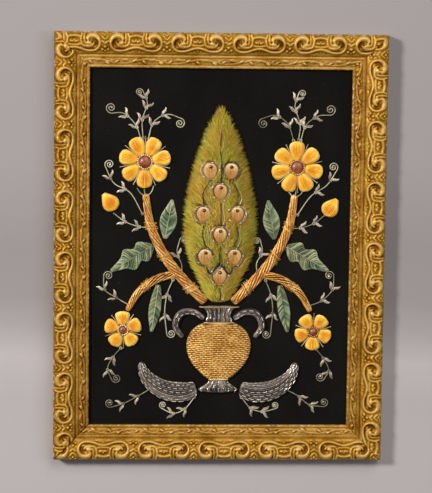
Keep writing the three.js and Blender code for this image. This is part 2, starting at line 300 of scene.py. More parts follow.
# The plain section under the ornament: a distance from the outer edge, and the height there.
PROFILE = np.array(
    [
        (0, 13.4), (0.7, 15.2), (1.8, 16.4), (4.2, 17.3), (7.6, 17.7), (10.8, 17.4), (13.6, 16.7),
        (16.4, 15.8), (18.6, 14.8), (19.6, 14.1), (20.8, 12.9), (21.4, 12.5), (22.2, 12.55), (23.1, 12.75),
        (24.1, 12.7), (24.4, 12.3), (24.7, 12.3), (27.8, 11.9), (30.8, 10.9), (31.3, 10.6), (31.7, 10.9),
        (32.5, 11.2), (33.3, 11.0), (34, 10.3),
    ]
)
print("frame", round(FRAME_WIDTH), "x", round(FRAME_HEIGHT), "rail", round(RAIL_WIDTH, 1))

# %% [markdown]
# A carver draws one half of the repeat and turns the pattern over for the other, and so does this table.
# Each form is one raised line, knob or hollow, with the name it would have at the bench.

# %% Lines of the ornament, on one half of its repeat
# Each point is a distance from the tab's middle, a distance from the outer edge, and the rib's half-width.
RIBS = [
    {
        "name": "ribbon", "height": 1.8,
        "line": [
            (13.4, 9.0, 0.9), (12.6, 6.6, 1.7), (14.2, 4.4, 2.5), (17.6, 3.4, 2.8), (21.0, 4.6, 2.4),
            (23.4, 7.6, 1.7), (24.2, 11.4, 1.25), (22.9, 15.3, 1.25), (19.7, 17.8, 1.3),
            (15.2, 18.4, 1.35), (10.8, 17.9, 1.3), (6.8, 16.6, 1.2), (3.2, 15.5, 1.25), (0, 15.1, 1.3),
        ],
    },
    {"name": "link", "height": 1.5, "line": [(13.2, 8.6, 0.9), (13.4, 10.4, 1.3), (14.4, 12.0, 1.8)]},
    {
        "name": "strap", "height": 1.6,
        "line": [
            (18.8, 10.6, 0.6), (17.6, 12.8, 1.2), (14.8, 14.1, 1.5), (11.4, 14.1, 1.3), (9.0, 13.6, 1.1),
            (7.4, 12.2, 1.0), (6.6, 9.6, 0.95), (6.3, 6.4, 0.95), (6.9, 3.8, 1.1), (7.6, 1.6, 1.0),
        ],
    },
    {
        "name": "column", "height": 1.0,
        "line": [(9.9, 1.0, 0.9), (9.7, 5, 0.9), (9.8, 9, 0.8), (10.4, 12.0, 0.6)],
    },
    {"name": "tab bar", "height": 1.5, "line": [(0, 3.7, 1.5), (3.4, 4.2, 1.5), (6.0, 5.2, 1.3)]},
    {"name": "tab sill", "height": 1.0, "line": [(0, 12.8, 1.0), (3.6, 12.8, 1.0), (6, 12.2, 0.8)]},
    {"name": "bract", "height": 1.35, "line": [(29.3, 11.8, 0.9), (27.6, 10.0, 1.0), (26.1, 9.2, 0.6)]},
    {"name": "low bract", "height": 1.35, "line": [(29.3, 7.6, 0.7), (27.8, 6.2, 0.9), (26.3, 4.0, 0.7)]},
]
KNOBS = [
    {"name": "drop", "at": (14.0, 11.3), "size": (3.3, 2.2), "turn": 12, "height": 2.2},
    {"name": "rosette", "at": (2.1, 9.4), "size": (2.2, 1.3), "turn": -20, "height": 1.3},
    {"name": "rosette's middle", "at": (0, 8.0), "size": (1.0, 1.0), "height": 1.3},
    {"name": "berry", "at": (29.3, 14.6), "size": (1.5, 1.4), "height": 1.7},
    {"name": "side berry", "at": (26.7, 17.2), "size": (1.4, 1.3), "height": 1.7},
    {"name": "low berry", "at": (29.3, 18.4), "size": (1.0, 0.8), "height": 1.1},
    {"name": "outer berry", "at": (29.3, 3.0), "size": (1.3, 1.1), "height": 1.5},
    {"name": "edge berry", "at": (26.9, 1.6), "size": (1.1, 0.9), "height": 1.3},
    {"name": "bead", "at": (0, 18.2), "size": (1.1, 0.7), "height": 0.5},
    {"name": "side bead", "at": (2.9, 18.8), "size": (1.1, 0.6), "height": 0.4},
]
HOLLOWS = [
    {"name": "eye", "at": (19.6, 10.0), "size": (3.8, 4.2), "height": 1.3},
    {"name": "tab floor", "at": (0, 8.2), "size": (5.4, 4.0), "height": 0.5},
    {"name": "side of the eye", "at": (21.9, 12.4), "size": (1.6, 4.4), "turn": 12, "height": 0.6},
    {"name": "gap by the lobe", "at": (11.4, 5.5), "size": (1.0, 4.6), "height": 0.8},
    {"name": "gap under the curl", "at": (14.6, 16.4), "size": (7.0, 1.3), "height": 0.9},
    {"name": "ground by the berries", "at": (29.3, 16.6), "size": (4.8, 3.6), "height": 0.7},
    {"name": "ground under the tab", "at": (0, 18.6), "size": (7.0, 1.8), "height": 0.5},
]
print(len(RIBS), "ribs,", len(KNOBS), "knobs and", len(HOLLOWS), "hollows on half a repeat")

# %% [markdown]
# The map is worked out once for half a repeat on a fine raster and then looked up for every point of every
# rail, mirrored about the tab. The groove map holds how far each spot lies under its surroundings, and the
# gilding is darkened there, partly with dirt and old bronze paint as in a real frame, and partly with painted
# shade in the hollows.


# %% How far a spot lies from a carved form
def share_of_rib(line, a, v):
    """How far each spot lies from a rib's line, as a share of the rib's half-width there."""
    nearest = np.full(a.shape, 1e9)
    for (a0, v0, r0), (a1, v1, r1) in zip(line[:-1], line[1:]):
        da, dv = a1 - a0, v1 - v0
        t = np.clip(((a - a0) * da + (v - v0) * dv) / max(da * da + dv * dv, 1e-9), 0, 1)
        away = np.hypot(a - a0 - t * da, v - v0 - t * dv) / (r0 + t * (r1 - r0))
        nearest = np.minimum(nearest, away)
    return nearest


def share_of_knob(knob, a, v):
    """How far each spot lies from a knob's middle, as a share of the knob's size in that direction."""
    turn = math.radians(knob.get("turn", 0))
    da, dv = a - knob["at"][0], v - knob["at"][1]
    lengthwise = (da * math.cos(turn) + dv * math.sin(turn)) / knob["size"][0]
    sideways = (dv * math.cos(turn) - da * math.sin(turn)) / knob["size"][1]
    return np.hypot(lengthwise, sideways)


def rounded(distance):
    """1 at the middle and 0 from a distance of 1, like the back of a bead."""
    return np.sqrt(np.clip(1 - distance**2, 0, 1)) ** 1.3


print("halfway out, a form still has", round(float(rounded(0.5)), 2), "of its height")

# %% [markdown]
# Sharp creases would look freshly machined. Age, gesso and gold leaf round them off, so the raster is
# softened by running means before it is used.

# %% Height map of the ornament
MAP_STEP = 0.15
MAP_END = 22
SOFTENED = 0.45
SURROUNDINGS = 1.8


def blurred(field, width_mm):
    """A field softened over a width, by running means that repeat the values at the edges."""
    reach = max(1, round(width_mm / MAP_STEP / 2))
    for axis in (0, 1):
        for _ in range(2):
            padded = np.pad(field, [(reach, reach) if k == axis else (0, 0) for k in (0, 1)], mode="edge")
            total = np.insert(np.cumsum(padded, axis=axis), 0, 0, axis=axis)
            low = np.take(total, range(field.shape[axis]), axis=axis)
            high = np.take(total, range(2 * reach + 1, 2 * reach + 1 + field.shape[axis]), axis=axis)
            field = (high - low) / (2 * reach + 1)
    return field


def relief_map(length, ribs, knobs, hollows=()):
    """Heights over a strip of that length, and how far each spot lies under its surroundings."""
    steps_along = np.arange(0, length + MAP_STEP, MAP_STEP)
    steps_across = np.arange(0, MAP_END, MAP_STEP)
    a, v = np.meshgrid(steps_along, steps_across, indexing="ij")
    relief = np.zeros(a.shape)
    for hollow in hollows:
        relief = relief - hollow["height"] * rounded(share_of_knob(hollow, a, v))
    forms = [(rib["height"], share_of_rib(smooth_line(rib["line"], 5), a, v)) for rib in ribs]
    forms += [(knob["height"], share_of_knob(knob, a, v)) for knob in knobs]
    for height, away in forms:
        relief = np.where(away < 1, np.maximum(relief, height * rounded(away)), relief)
    relief = blurred(relief, SOFTENED)
    print("relief", round(float(relief.min()), 2), "to", round(float(relief.max()), 2), "mm")
    return relief, np.clip(blurred(relief, SURROUNDINGS) - relief, 0, None)


# The second map darkens the gilding in the hollows, with dirt and with painted shade.
ORNAMENT, ORNAMENT_SHADE_AND_DIRT = relief_map(HALF_REPEAT, RIBS, KNOBS, HOLLOWS)

# %% [markdown]
# The vine was pressed from another mould, so it has a repeat of its own: a stem that waves from side to
# side, and leaves in its bends. Its repeat differs from the scrolls', so the two never line up twice, and
# a second map costs less than one long map of both.

# %% Height map of the vine
# Distances across are taken from the start of the vine's band.
VINE_LENGTH = 51.2
VINE_START = 24.9
VINE_WIDTH = 6.1
VINE_LEAVES = [
    {"name": "high leaf", "at": (0, 4.9), "size": (2.7, 1.35), "turn": -28, "height": 1.6},
    {"name": "falling leaf", "at": (16, 3.9), "size": (2.3, 1.2), "turn": -35, "height": 1.5},
    {"name": "low leaf", "at": (25.4, 2.3), "size": (2.6, 1.3), "turn": 30, "height": 1.6},
    {"name": "rising leaf", "at": (42.4, 3.3), "size": (2.3, 1.2), "turn": 35, "height": 1.5},
    {"name": "folded leaf", "at": (8.8, 1.7), "size": (3.4, 1.2), "turn": 5, "height": 0.8},
    {"name": "second folded leaf", "at": (34.6, 1.5), "size": (3.2, 1.1), "turn": -8, "height": 0.8},
    {"name": "bud", "at": (20.8, 5.0), "size": (1.2, 0.9), "height": 0.6},
    {"name": "second bud", "at": (47.2, 2.2), "size": (1.2, 0.9), "height": 0.6},
]
VINE_STEM_STEP = 6.4
VINE_STEM_CREST = -12.9
VINE_STEM_HALF = 0.75


def vine_stem():
    """Points of the waving stem, from just before the map to just past it."""
    places = np.arange(-VINE_STEM_STEP, VINE_LENGTH + 8, VINE_STEM_STEP)
    waves = [math.cos(math.tau * (a - VINE_STEM_CREST) / VINE_LENGTH) for a in places]
    return [(a, 3.1 + 2.0 * wave, VINE_STEM_HALF) for a, wave in zip(places, waves)]


# The leaves come again one repeat further on, so that the map's end meets its start.
next_leaves = [{**leaf, "at": (leaf["at"][0] + VINE_LENGTH, leaf["at"][1])} for leaf in VINE_LEAVES]
vine_ribs = [{"line": vine_stem(), "height": 0.55}]
# The vine gets such a map too: dirt and painted shade round its leaves.
VINE, VINE_SHADE_AND_DIRT = relief_map(VINE_LENGTH, vine_ribs, VINE_LEAVES + next_leaves)

# %% [markdown]
# Nothing in an old frame is quite even. A sum of a few sine waves in random directions makes soft hills
# that are the same in every run, and it is used wherever wear, waviness or fading is needed.


# %% Unevenness, and values looked up in a map
def wander(a, b, wavelength, terms=9, seed=1):
    """Smooth random hills of about that wavelength, from -1 to 1."""
    dice = np.random.default_rng(seed)
    total = np.zeros(np.broadcast(a, b).shape)
    for _ in range(terms):
        heading = dice.uniform(0, math.tau)
        pace = math.tau / wavelength * dice.uniform(0.6, 1.5)
        slantwise = a * math.cos(heading) + b * math.sin(heading)
        total = total + np.sin(pace * slantwise + dice.uniform(0, math.tau))
    return np.clip(total / math.sqrt(terms) / 1.6, -1, 1)


def look_up(table, along, across):
    """Values of a map at the given places, between its four nearest points."""
    a = np.clip(along / MAP_STEP, 0, table.shape[0] - 1.001)
    v = np.clip(across / MAP_STEP, 0, table.shape[1] - 1.001)
    i, j = a.astype(int), v.astype(int)
    p, q = a - i, v - j
    low = table[i, j] * (1 - p) + table[i + 1, j] * p
    high = table[i, j + 1] * (1 - p) + table[i + 1, j + 1] * p
    return low * (1 - q) + high * q


drop = np.array([14.0]), np.array([11.3])
print("the drop stands", round(float(look_up(ORNAMENT, *drop)[0]), 2), "mm proud")

# %% [markdown]
# A rail's height at any spot is the plain profile, the ornament, and a little of each kind of wear. Two
# numbers go with it for the gilder. The first is how much the gold is rubbed there: the band's inner edge is
# rubbed paler, which is also a painted highlight, and some rails get painted shade. The second is how much
# dirt and painted shade lie at the foot of the cove, in the fine grooves and round the vine.

# %% Height, wear and painted light of a rail
BAND_END = 21
GROOVE_REACH = 0.3
# Grooves darkened with dirt and painted shade: a distance from the outer edge, and how dark.
GROOVES_OF_SHADE_AND_DIRT = [(21.4, 0.5), (24.55, 0.4), (31.3, 0.35)]
# On the vine, dirt and painted shade are this many times stronger.
VINE_GAIN_OF_SHADE_AND_DIRT = 2.6
# The band's inner edge is rubbed paler here, which is also a painted highlight.
RUB_AND_HIGHLIGHT_EDGE = (19.0, 20.4)
RUB_AND_HIGHLIGHT = 1.1
# Painted shade on a rail's inner bands starts here, as does their tan tone, and painted shade on its outer
# lobes fades out over LOBE_FADE up to LOBE_END.
INNER_BANDS_FROM = 20.6
LOBE_END = 8
LOBE_FADE = 3


def carved(band, vine, u, v, spec):
    """A map's value on the outer band, mirrored about each tab, and another map's value on the vine."""
    from_tab = np.abs((u - spec["first"] + HALF_REPEAT) % REPEAT - HALF_REPEAT)
    from_leaf = (u - spec["leaf"]) % VINE_LENGTH
    in_vine = (v > VINE_START) & (v < VINE_START + VINE_WIDTH)
    on_vine = look_up(vine, from_leaf, v - VINE_START) * in_vine
    return np.where(v < BAND_END, look_up(band, from_tab, v), on_vine)


def rail_height(u, v, relief, seed):
    """Height of the moulding at a distance along and across it, with its wear and waviness."""
    worn = 1 - 0.12 * (1 + wander(u, v, 23, seed=seed))
    hammered = 0.09 * wander(u, v, 2.1, 14, seed + 1) * (relief < 0.3)
    dented = 0.1 * wander(u, v, 6, 9, seed + 3)
    warped = 0.12 * wander(u, v, 40, seed=seed + 2)
    return np.interp(v, PROFILE[:, 0], PROFILE[:, 1]) + relief * worn + (hammered + dented) + warped


def rail_wear(v, relief, groove, spec):
    """Rubbed gold with a painted highlight, less each rail's painted shade, and dirt and painted shade in
    each groove.
    """
    groove = groove * np.where(v < BAND_END, 1, VINE_GAIN_OF_SHADE_AND_DIRT)
    for place, shade_and_dirt in GROOVES_OF_SHADE_AND_DIRT:
        groove = groove + shade_and_dirt * (np.abs(v - place) < GROOVE_REACH)
    on_edge = (v > RUB_AND_HIGHLIGHT_EDGE[0]) & (v < RUB_AND_HIGHLIGHT_EDGE[1])
    painted_light_and_wear = np.where(on_edge, np.maximum(relief, RUB_AND_HIGHLIGHT), relief)
    painted_shade = spec["dull"] * (v > INNER_BANDS_FROM) + spec["outer_painted_shade"] * np.clip((LOBE_END - v) / LOBE_FADE, 0, 1)
    return painted_light_and_wear - painted_shade, groove


print("dirt lies", [place for place, _ in GROOVES_OF_SHADE_AND_DIRT], "mm from the outer edge")

# %% [markdown]
# ## Gilding
#
# The gold is leaf and bronze paint over gesso, rubbed paler on high parts, browner on the inner bands, and
# chipped along the edges. A flat yellow metal would look like plastic. Here one colour ramp runs from dirt
# and painted shade to rubbed gold and painted highlight, driven by the rail's own numbers and by noise.

# %% Gilding
GILT_DARK = linear(92, 52, 0)
GILT_STOPS = [(0.35, linear(138, 90, 4)), (0.6, linear(172, 126, 30)), (1.0, linear(208, 168, 96))]
TAN_STOPS = [(0.3, linear(142, 98, 24)), (0.55, linear(176, 132, 58)), (0.95, linear(206, 168, 104))]
GESSO = linear(214, 190, 150)


def make_gilding():
    material, tree, shader = new_finish("old_gilding", Metallic=0.4, Specular_IOR_Level=0.15)
    patches = noise(tree, 60, 4)
    specks = noise(tree, 1100)
    # Painted light and shade: high relief is paler and hollows are darker, partly as rubbed wear and partly
    # as painted shade.
    raised = spread(tree, attribute(tree, "relief"), -2.4, 1.9)
    uneven = math_node(tree, "ADD", raised, spread(tree, patches, 0.3, 0.7, -0.16, 0.16))
    grainy = math_node(tree, "ADD", uneven, spread(tree, specks, 0.3, 0.7, -0.14, 0.14))
    # The groove number darkens the gold with dirt and painted shade.
    lit = math_node(tree, "SUBTRACT", grainy, spread(tree, attribute(tree, "groove"), 0.02, 0.7, 0, 0.6))
    gold, tan = (ramp(tree, lit, (0.08, GILT_DARK), *stops) for stops in (GILT_STOPS, TAN_STOPS))
    toned = blend_colours(tree, attribute(tree, "inner"), gold, tan)
    chips = spread(tree, noise(tree, 260, 4), 0.52, 0.6)
    chipped = math_node(tree, "MULTIPLY", attribute(tree, "edge"), chips)
    tree.links.new(blend_colours(tree, chipped, toned, GESSO), shader.inputs["Base Color"])
    tree.links.new(spread(tree, patches, 0.3, 0.7, 0.4, 0.56), shader.inputs["Roughness"])
    rough = math_node(tree, "ADD", math_node(tree, "MULTIPLY", noise(tree, 420), 2.0), specks)
    bump(tree, shader, rough, 0.14, 0.7)
    return material


def make_fibrous(name, roughness, dark, light, grain, depth_mm):
    """A plain brown material of fibres: a noise that is stretched along the grain."""
    material, tree, shader = new_finish(name, Roughness=roughness)
    fibres = noise(tree, *grain)
    colour = ramp(tree, fibres, (0.3, linear(*dark)), (0.7, linear(*light)))
    tree.links.new(colour, shader.inputs["Base Color"])
    bump(tree, shader, fibres, depth_mm)
    return material


GILDING = make_gilding()
BARE_WOOD = make_fibrous("bare_pine", 0.75, (150, 112, 70), (196, 160, 112), (900, 5, (0.06, 1, 1)), 0.15)

# %% [markdown]
# ## Rails
#
# Each rail is a strip of that height map, cut at 45 degrees at its ends: the rows grow shorter towards the
# sight edge, so the mitres need no cutting. The four rails come from one length of moulding, so only the
# place of the first tab and of the first leaf differs, and how much shade is painted on each.

# %% Where the ornament starts on each rail
TIGHT_MITRE = 0.06
OPEN_MITRE = 0.4
POINT_SPACING = 0.64
# first and leaf say how far along the rail the first tab and the first vine leaf stand. The two numbers
# after them say how much shade is painted on the inner bands and on the outer lobes, and open how far each
# end stands off its mitre.
RAILS = [
    {
        "name": "rail_bottom", "length": FRAME_WIDTH, "turn": 0, "first": 48.7, "leaf": 38.6,
        "dull": 0.3, "outer_painted_shade": 0.0, "open": (OPEN_MITRE, TIGHT_MITRE),
    },
    {
        "name": "rail_right", "length": FRAME_HEIGHT, "turn": 1, "first": 13.2, "leaf": 17.3,
        "dull": 0.75, "outer_painted_shade": 0.2, "open": (TIGHT_MITRE, TIGHT_MITRE),
    },
    {
        "name": "rail_top", "length": FRAME_WIDTH, "turn": 2, "first": 7.4, "leaf": 13.2,
        "dull": 0.0, "outer_painted_shade": 0.0, "open": (TIGHT_MITRE, TIGHT_MITRE),
    },
    {
        "name": "rail_left", "length": FRAME_HEIGHT, "turn": 3, "first": 0.5, "leaf": 30.4,
        "dull": 0.75, "outer_painted_shade": 0.8, "open": (TIGHT_MITRE, OPEN_MITRE),
    },
]


def rows_across():
    """Where the strip has rows: close together on the carving, and at each corner of the profile."""
    carved_band = np.arange(0, 19.6, 0.55)
    vine_band = np.arange(VINE_START, VINE_START + VINE_WIDTH, 0.5)
    return np.unique(np.concatenate([carved_band, vine_band, PROFILE[:, 0]]).round(2))


ACROSS = rows_across()
print(len(ACROSS), "rows across a rail")

# %% [markdown]
# Sides, rebate and back close the strip, so that each rail is one solid body. The top and the outer side
# are gilded, and the back, the rebate and the cut ends are bare wood, as a frame maker leaves them.

# %% Rails
SMOOTH_ROWS = len(ACROSS) - 1
CHIPPED_EDGE = 1.6
CHIPPED_SIGHT = 33


def turned(points, turn):
    """Points turned by quarter turns about the picture's middle."""
    for _ in range(turn):
        points = np.stack([-points[..., 1], points[..., 0], points[..., 2]], axis=-1)
    return points


def rail_underside(low, high, columns):
    """The four lines that close a rail: its lip, its rebate and the two edges of its back."""
    inner = RAIL_WIDTH - REBATE_WIDTH
    lines = []
    for place, z in ((ACROSS[-1], LIP_UNDERSIDE), (inner, LIP_UNDERSIDE), (inner, 0.0), (ACROSS[0], 0.0)):
        run = np.linspace(np.interp(place, ACROSS, low), np.interp(place, ACROSS, high), columns)
        lines.append(np.stack([run, np.full(columns, place), np.full(columns, z)], axis=-1))
    return np.array(lines)


def rail_faces(rows, columns):
    """Quads round the rail, from each row to the next and from the last to the first, and its two ends."""
    index = np.arange(rows * columns).reshape(rows, columns)
    after = np.roll(index, -1, axis=0)
    sides = np.stack([index[:, :-1], index[:, 1:], after[:, 1:], after[:, :-1]], axis=-1)
    return sides.reshape(-1, 4).tolist() + [index[:, 0].tolist(), index[::-1, -1].tolist()]


def paint_rail(rail, rows, columns):
    """Bare wood on the rebate, the back and the ends, and sharp edges everywhere but on the carving."""
    rail.data.materials.append(BARE_WOOD)
    order = np.arange(len(rail.data.polygons))
    wooden = (order >= len(ACROSS) * (columns - 1)) & (order < (rows - 1) * (columns - 1))
    wooden[-2:] = True
    rail.data.polygons.foreach_set("material_index", wooden.astype(int))
    rail.data.polygons.foreach_set("use_smooth", order < SMOOTH_ROWS * (columns - 1))


def make_rail(spec):
    length, turn = spec["length"], spec["turn"]
    columns = round(length / POINT_SPACING)
    low = ACROSS + spec["open"][0] * math.sqrt(2)
    high = length - ACROSS - spec["open"][1] * math.sqrt(2)
    u = low[:, None] + (high - low)[:, None] * np.linspace(0, 1, columns)
    v = np.broadcast_to(ACROSS[:, None], u.shape)
    relief = carved(ORNAMENT, VINE, u, v, spec)
    top = np.stack([u, v, rail_height(u, v, relief, 11 + turn)], axis=-1)
    points = np.concatenate([top, rail_underside(low, high, columns)])
    # relief carries rubbed wear, a painted highlight and each rail's painted shade, and groove carries dirt
    # and painted shade.
    painted_light_and_wear, shade_and_dirt = rail_wear(v, relief, carved(ORNAMENT_SHADE_AND_DIRT, VINE_SHADE_AND_DIRT, u, v, spec), spec)
    chips = np.clip(CHIPPED_EDGE - v, 0, 1) + np.clip(2 * (v - CHIPPED_SIGHT), 0, 0.9)
    told = {"relief": painted_light_and_wear, "groove": shade_and_dirt, "edge": chips, "inner": np.clip((v - INNER_BANDS_FROM) / 1.2, 0, 1)}
    values = {key: np.append(numbers.ravel(), np.zeros(4 * columns)) for key, numbers in told.items()}
    other_length = FRAME_WIDTH if turn % 2 else FRAME_HEIGHT
    points = turned(points - np.array([length / 2, other_length / 2, 0]), turn)
    faces = rail_faces(len(points), columns)
    rail = make_object(f"{spec['name']}_carved", points, faces, values=values, material=GILDING)
    paint_rail(rail, len(points), columns)
    seat(rail, "gilt_moulding", spec["name"])


for spec in RAILS:
    make_rail(spec)

# %% [markdown]
# ## Board
#
# A board closes the back of the rebate. A sawn board is as plain as its CAD solid, so the solid stays as
# it is and only gets the look of brown hardboard.

# %% Board
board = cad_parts["back_board"]
board.data.materials.clear()
HARDBOARD = make_fibrous("brown_hardboard", 0.7, (104, 74, 50), (150, 114, 82), (700, 6, (1, 0.35, 1)), 0.1)
board.data.materials.append(HARDBOARD)

# %% [markdown]
# ## Velvet
#
# The velvet is one stretched sheet, so it is a slab of its real thickness with a fine grid and a very
# slight unevenness. A cloth simulation would only find the flat it already has. Velvet is a dense pile: it
# swallows light that falls straight on it and glows faintly at a slant, which is what the shader's sheen
# does. A few specks of lint keep the black from looking empty.

# %% Velvet
VELVET_LOW, VELVET_HIGH = (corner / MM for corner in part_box("velvet_ground"))
VELVET_WIDTH, VELVET_LENGTH, _ = VELVET_HIGH - VELVET_LOW
VELVET_GRID = 4
VELVET_SHEEN = (0.42, 0.4, 0.36, 1)


def make_velvet_finish():
    nap = {"Sheen_Weight": 0.16, "Sheen_Roughness": 0.45, "Sheen_Tint": VELVET_SHEEN}
    material, tree, shader = new_finish("black_velvet", Roughness=0.95, Specular_IOR_Level=0.1, **nap)
    brushed = noise(tree, 22, 4, (1, 0.6, 1))
    black = ramp(tree, brushed, (0.3, linear(9, 8, 6)), (0.75, linear(19, 17, 14)))
    lint = spread(tree, noise(tree, 900, 2), 0.73, 0.8)
    tree.links.new(blend_colours(tree, lint, black, linear(92, 90, 88)), shader.inputs["Base Color"])
    bump(tree, shader, noise(tree, 2600, 2), 0.25)
    return material


def make_velvet():
    columns, rows = round(VELVET_WIDTH / VELVET_GRID) + 1, round(VELVET_LENGTH / VELVET_GRID) + 1
    across = np.linspace(VELVET_LOW.x, VELVET_HIGH.x, columns)
    x, y = np.meshgrid(across, np.linspace(VELVET_LOW.y, VELVET_HIGH.y, rows))
    top = VELVET_HIGH.z - 0.12 + 0.1 * wander(x, y, 34, seed=5)
    layers = [np.stack([x, y, z], axis=-1).reshape(-1, 3) for z in (np.full(x.shape, VELVET_LOW.z), top)]
    under, over = (grid_faces(rows, columns, start) for start in (0, rows * columns))
    index = np.arange(rows * columns).reshape(rows, columns)
    rim = np.concatenate([index[0], index[1:, -1], index[-1, -2::-1], index[-2:0:-1, 0]])
    after = np.roll(rim, -1)
    walls = np.stack([rim, after, after + rows * columns, rim + rows * columns], axis=-1)
    faces = np.concatenate([under[:, ::-1], over, walls])
    return make_object("velvet_sheet", np.concatenate(layers), faces.tolist(), material=make_velvet_finish())


velvet = seat(make_velvet(), "velvet", "velvet_ground")

# %% [markdown]
# ## Padding
#
# Raised embroidery starts with padding: felt, card or cotton is sewn down and rounded, and thread is laid
# over it. A pad here is a line down its middle with half a width at each point, which is how such a shape
# is drawn and cut. Its cross-section is half an ellipse on a low wall, and its ends are rounded off, so
# thread can lie over it everywhere.


# %% The form of a pad
MOTIF_BASE = 7.6
EDGE_RISE = 0.7
SINK = 0.45
ROW_STEP = 1.0
ROUND_END = 2.2
END_STEPS = 1 - np.cos(np.radians([9, 22, 38, 55, 72]))


def pad_form(rows, crown, base=MOTIF_BASE):
    """Spine, side direction, half-width and rise of a pad, at steps along it."""
    line = even_line(smooth_line(rows, 12), 0.5)
    along = np.concatenate([[0], np.cumsum(np.linalg.norm(np.diff(line[:, :2], axis=0), axis=1))])
    total = along[-1]
    ends = [min(ROUND_END, width) for width in (line[0, 2], line[-1, 2])]
    middle = np.arange(ends[0], total - ends[1], ROW_STEP)
    places = np.concatenate([ends[0] * END_STEPS, middle, total - ends[1] * END_STEPS[::-1]])
    x, y, half = (np.interp(places, along, column) for column in line.T)
    heading = np.gradient(np.stack([x, y], axis=1), places, axis=0)
    heading /= np.linalg.norm(heading, axis=1, keepdims=True)
    lift = crown * np.sqrt(np.minimum(1, half / line[:, 2].max()))
    from_end = np.minimum(places / ends[0], (total - places) / ends[1])
    rounding = np.sqrt(np.clip(1 - (1 - np.clip(from_end, 0, 1)) ** 2, 0, 1))
    return {
        "along": places, "x": x, "y": y, "side_x": -heading[:, 1], "side_y": heading[:, 0],
        "half": half * rounding, "lift": lift * rounding, "base": base, "length": total,
    }


def on_pad(form, along, angle, above=0.0):
    """Points over a pad: a distance down its spine, and an angle over it, -pi/2 right and pi/2 left."""
    x, y, side_x, side_y, half, lift = (
        np.interp(along, form["along"], form[key]) for key in ("x", "y", "side_x", "side_y", "half", "lift")
    )
    reach = (half + above) * np.sin(angle)
    height = form["base"] + EDGE_RISE + (lift + above) * np.cos(angle)
    return np.stack([x + side_x * reach, y + side_y * reach, height + 0 * reach], axis=-1)


trial = pad_form([(0, 0, 5), (0, 30, 8)], 3)
print("a trial pad is", round(trial["length"]), "long and", round(trial["half"].max() * 2, 1), "wide")

# %% [markdown]
# A pad's mesh is one ring of points for each step of its spine: up one side, over the crown and down the
# other. Two caps close it. Its form is kept for the threads over it.

# %% Make the padding of a node
pads = {}


def make_pad(node, rows, crown, material, slot, base=MOTIF_BASE, points_over=15):
    """A closed pad that stands for a CAD node, and its form for the threads over it."""
    form = pad_form(rows, crown, base)
    angles = np.radians(np.linspace(-90, 90, points_over))
    dome = on_pad(form, *np.meshgrid(form["along"], angles, indexing="ij"))
    foot = dome[:, [0, -1]].copy()
    foot[..., 2] = base - SINK
    rings = np.concatenate([foot[:, :1], dome, foot[:, 1:]], axis=1)[:, ::-1]
    count, around = rings.shape[:2]
    faces = grid_faces(count, around, closed=True)[:, ::-1].tolist()
    faces += [list(range(around)), list(range((count - 1) * around, count * around))[::-1]]
    pad = make_object(f"{node}_padding", rings, faces, material=material)
    seat(pad, slot, node)
    pads[node] = form
    return form


# %% [markdown]
# ## Threads, wires and beads
#
# Real threads follow the padding, so each is given as a line of points, and a small Geometry Nodes tree
# turns the lines into tubes. Four trees do nearly all the needlework: plain laid thread, purl (a spring of
# fine wire, which looks like a ribbed cord), rows of beads, and silk pile. Their sizes are named inputs.
# After a tree has run, its result is kept as a plain mesh.


# %% Tree helpers
def new_tree(name, **sizes):
    """A Geometry Nodes tree with a geometry in and out, named sizes and a material."""
    tree = bpy.data.node_groups.new(name, "GeometryNodeTree")
    interface = tree.interface
    interface.new_socket("Geometry", in_out="INPUT", socket_type="NodeSocketGeometry")
    for label, value in sizes.items():
        kind = "NodeSocketInt" if isinstance(value, int) else "NodeSocketFloat"
        interface.new_socket(label, in_out="INPUT", socket_type=kind).default_value = value
    interface.new_socket("Material", in_out="INPUT", socket_type="NodeSocketMaterial")
    interface.new_socket("Geometry", in_out="OUTPUT", socket_type="NodeSocketGeometry")
    return tree, tree.nodes.new("NodeGroupInput").outputs


def end_tree(tree, inputs, geometry):
    realized = add_node(tree, "GeometryNodeRealizeInstances", {"Geometry": geometry}).outputs[0]
    finish = {"Geometry": realized, "Material": inputs["Material"]}
    finished = add_node(tree, "GeometryNodeSetMaterial", finish).outputs[0]
    tree.links.new(finished, tree.nodes.new("NodeGroupOutput").inputs[0])
    print("tree", tree.name, "with", len(tree.nodes), "nodes")
    return tree


def work_tree(carrier, tree, material, **sizes):
    """Runs a tree on a carrier and leaves its result there as a plain mesh."""
    modifier = carrier.modifiers.new(tree.name, "NODES")
    modifier.node_group = tree
    for socket in tree.interface.items_tree:
        if socket.in_out == "INPUT" and socket.name in sizes:
            modifier[socket.identifier] = sizes[socket.name]
        elif socket.in_out == "INPUT" and socket.name == "Material":
            modifier[socket.identifier] = material
    graph = bpy.context.evaluated_depsgraph_get()
    mesh = bpy.data.meshes.new_from_object(carrier.evaluated_get(graph))
    carrier.modifiers.clear()
    carrier.data = mesh
    mesh.polygons.foreach_set("use_smooth", [True] * len(mesh.polygons))
    return carrier


# %% [markdown]
# The trees share a few steps: chains of edges become curves, a curve gets points at an even spacing, and a
# round section is swept along it. Each step is one or two nodes, so each is a function of a few lines.


# %% Parts that the trees share
def lines_of(tree, inputs):
    return add_node(tree, "GeometryNodeMeshToCurve", {"Mesh": inputs["Geometry"]}).outputs[0]


def stepped(tree, lines, length):
    spaced = {"Curve": lines, "Length": length}
    return add_node(tree, "GeometryNodeResampleCurve", spaced, mode="LENGTH").outputs[0]


